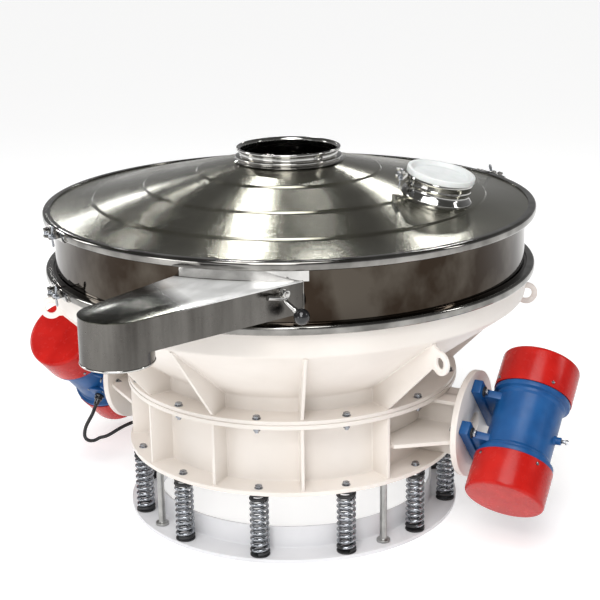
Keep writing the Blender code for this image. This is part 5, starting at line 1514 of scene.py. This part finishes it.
def swing_bolt():
    """Eye bolt, its thread and a wing nut; the pin is on the frame's origin and the bolt runs along Y."""
    start = END_GAP / 2 + LUG_LENGTH + 2 * GAP + PIN_Y
    end = start + NUT_LENGTH
    eye = LUG_SLOT / 2 - GAP
    bore = PIN_R + GAP
    eyelet = spun(rounded([(EYELET_R, eye), (EYELET_R, -eye), (bore, -eye), (bore, eye)], 0.001), 32)
    line = [(0.0, 0.006), (BOLT_R * 0.95, 0.006)]
    for i in range(2 * THREAD_TURNS):
        depth = THREAD_DEPTH if i % 2 else 0.0
        line.append((BOLT_R * (1.0 - depth), start - 0.008 + THREAD_PITCH / 2 * i))
    line.append((0.0, line[-1][1] + 0.0006))
    hub = turned([(0.0, start), (NUT_R, start), (NUT_R - 0.0015, end), (0.0, end)], 0.0008, 32)
    along = turned_about("X", -90.0)
    ear = arc((WING_REACH - WING_EAR_R, 0.0122), WING_EAR_R, -75.0, 105.0, 8)
    outline = [(0.004, 0.001)] + ear + [(0.0055, 0.0105)]
    outline += [(-x, y) for x, y in reversed(outline)]
    wings = moved(plate([outline], WING_SHEET, 0.0010),
                  Matrix.Translation((0.0, start, 0.0)) @ turned_about("Y", 90.0))
    return joined([eyelet, moved(spun(line, 20, closed=False), along), moved(hub, along), wings])


def joint_frame(angle, z):
    """Frame at a clamp joint, on the bolt's line: X outwards, Y along the ring."""
    return at_angle(angle, CLAMP_R + BOLT_OUT, z)


SWING_BOLT = swing_bolt()
TO_PIN = Matrix.Translation((0.0, -PIN_Y, 0.0))


def saddle(z, start):
    """Bright saddle that clasps a clamp ring beside a joint."""
    inner, outer = CLAMP_R - BITE, CLAMP_R + SADDLE_PROUD
    low, high = z - SADDLE_HALF, z + SADDLE_HALF
    return spun(rounded([(inner, low), (outer, low), (outer, high), (inner, high)], 0.0015), 2 * ROUND,
                start=start, sweep=SADDLE_SWEEP)


def make_clamps():
    """Two clamp rings in halves; each joint has a forked and a notched lug, a swing bolt and saddles."""
    forked, notched = lug_pair(CLAMP_HALF, LUG_BITE)
    trim = math.degrees(END_GAP / 2 / CLAMP_R)
    for level, z in CLAMP_LEVELS.items():
        for side, start in CLAMP_ANGLES.items():
            band = spun(clamp_section(z), CLAMP_SIDES, start=start + trim, sweep=180.0 - 2 * trim)
            mesh = joined([band, moved(forked, joint_frame(start + 180.0, z)),
                           moved(notched, joint_frame(start, z))])
            piece(f"{level}_band_{side}", mesh, RING_PAINTED_DARK_REFLECTION, "deck", f"{level}_clamp_{side}")
            saddles = [saddle(z, start + beside) for beside in SADDLE_STARTS]
            piece(f"{level}_saddles_{side}", joined(saddles), BRIGHT, "deck")
            piece(f"{level}_wing_bolt_{side}", moved(SWING_BOLT, joint_frame(start, z) @ TO_PIN), ZINC,
                  f"{level}_bolt_{side}", f"{level}_bolt_{side}")


make_clamps()


# Cover, inlet neck and inspection port


def cover_line():
    """Outer edge of the cover in radius and height, from the rim inwards: slopes and three steps."""
    climb = COVER_RISE - COVER_STEP * len(COVER_STEPS_R)
    slope = climb / (COVER_SLOPE_R - COVER_HOLE_R)
    base = COVER_Z + RIM_PLATE
    line = [(COVER_SLOPE_R, base)]
    for count, step_r in enumerate(COVER_STEPS_R):
        height = base + (COVER_SLOPE_R - step_r) * slope + count * COVER_STEP
        line += [(step_r + 0.002, height), (step_r - 0.002, height + COVER_STEP)]
    line.append((COVER_HOLE_R, base + COVER_RISE))
    return line


def port_frame():
    """Frame of the port: origin on the cover, Z square to it, X outwards."""
    line = cover_line()
    (r_out, z_out), (r_in, z_in) = line[0], line[-1]
    tilt = math.atan2(z_in - z_out, r_out - r_in)
    height = z_out + (r_out - PORT_AT_R) * math.tan(tilt)
    return Matrix.Translation((PORT_AT_R, 0.0, height)) @ Matrix.Rotation(tilt, 4, "Y")


def make_cover():
    """Spun cover with three pressed steps and the hole under the port."""
    line = cover_line()
    bends = [0.004] + [0.0035] * (2 * len(COVER_STEPS_R)) + [0.0]
    outer = rounded(line, bends, closed=False, steps=4)
    inner = rounded([(r - 0.0006, z - COVER_SHEET) for r, z in line], bends, closed=False, steps=4)
    rim = rounded([(COVER_SLOPE_R, COVER_Z + RIM_PLATE), (RIM_R, COVER_Z + RIM_PLATE), (RIM_R, COVER_Z),
                   (COVER_SLOPE_R - 0.002, COVER_Z)], 0.001, closed=False)
    mesh = spun(outer[::-1] + rim[1:-1] + inner, COVER_SIDES)
    hole = moved(rod(PORT_R - PORT_WALL, (0, 0, -0.04), (0, 0, 0.03), FINE, 0), port_frame())
    piece("cover_sheet", cut(mesh, hole), SPUN_PAINTED_REFLECTION, "deck", "cover")


def make_inlet():
    """Flanged inlet neck with a rolled lip and a bead ring."""
    seat, top = INLET_SEAT, INLET_TOP
    inner = INLET_R - INLET_WALL
    line = rounded([
        (INLET_LIP_R, top), (INLET_LIP_R, top - 0.006), (INLET_R, top - 0.009), (INLET_R, seat + 0.016),
        (INLET_BAND_R, seat + 0.012), (INLET_BAND_R, seat + 0.008), (INLET_R + 0.004, seat + 0.006),
        (INLET_SEAT_R, seat + GAP), (INLET_R, seat + GAP), (INLET_R, seat - 0.012), (inner, seat - 0.012),
        (inner, top - 0.006), (INLET_LIP_R - 0.005, top),
    ], [0.0025, 0.0025, 0.002, 0.002, 0.0018, 0.0018, 0.004, 0.0005, 0.0002, 0.0004, 0.0004, 0.004, 0.003])
    piece("inlet_collar", spun(line), BRIGHT, "deck", "inlet_neck")


def make_port():
    """Inspection port: bright neck, white dished cap and the strap round its skirt."""
    place = port_frame()
    inner = PORT_R - PORT_WALL
    neck = spun(rounded([
        (PORT_R, PORT_HEIGHT), (PORT_R, 0.016), (PORT_SKIRT_R, 0.003), (PORT_SKIRT_R, -0.03),
        (inner, -0.03), (inner, PORT_HEIGHT),
    ], [0.0008, 0.012, 0.003, 0, 0, 0.0008], steps=6), MEDIUM)
    line = [(r, z + GAP) for r, z in cover_line()]
    line = [(0.0, line[-1][1])] + line[::-1] + [(COVER_SLOPE_R, COVER_Z - 0.05), (0.0, COVER_Z - 0.05)]
    below = spun(line, closed=False)
    piece("port_collar", cut(moved(neck, place), below), BRIGHT, "deck", "port_neck")

    skirt_in = PORT_R + GAP
    skirt_out, top = skirt_in + CAP_SKIRT, PORT_HEIGHT + CAP_LIP
    low = PORT_HEIGHT + GAP
    hem = PORT_HEIGHT - CAP_SKIRT_DROP
    cap = turned([
        (0.0, top - CAP_DISH), (PORT_R - 0.010, top - CAP_DISH), (PORT_R - 0.002, top), (CAP_LIP_R, top),
        (CAP_LIP_R, low), (skirt_out, low), (skirt_out, hem), (skirt_in, hem), (skirt_in, low), (0.0, low),
    ], [0, 0.006, 0.003, 0.004, 0.003, 0.0005, 0.0008, 0.0008, 0.0003, 0], MEDIUM, steps=5)
    piece("port_lid", moved(cap, place), SILICONE, "deck", "port_cap")

    band_in = skirt_out + GAP
    band_out = band_in + BAND_SHEET
    high = PORT_HEIGHT - 2 * GAP
    low = high - BAND_WIDTH
    trim = math.degrees(END_GAP / 2 / band_out)
    band = spun(rounded([
        (band_out - 0.001, high), (band_out, high - 0.004), (band_out - 0.0012, high - 0.007),
        (band_out - 0.0012, low + 0.007), (band_out, low + 0.004), (band_out - 0.001, low),
        (band_in, low), (band_in, high),
    ], 0.0006), MEDIUM, start=PORT_JOINT_ANGLE + trim, sweep=360.0 - 2 * trim)
    joint = at_angle(PORT_JOINT_ANGLE, band_out + BOLT_OUT, (high + low) / 2)
    forked, notched = lug_pair(BAND_WIDTH / 2, 0.0022)
    strap = joined([band, moved(forked, joint), moved(notched, joint)])
    piece("port_band", moved(strap, place), BRIGHT, "deck", "port_strap")
    piece("port_wing_bolt", moved(SWING_BOLT, place @ joint @ TO_PIN), ZINC, "port_bolt", "port_bolt")


make_cover()
make_inlet()
make_port()

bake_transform(springs)
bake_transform(lead)
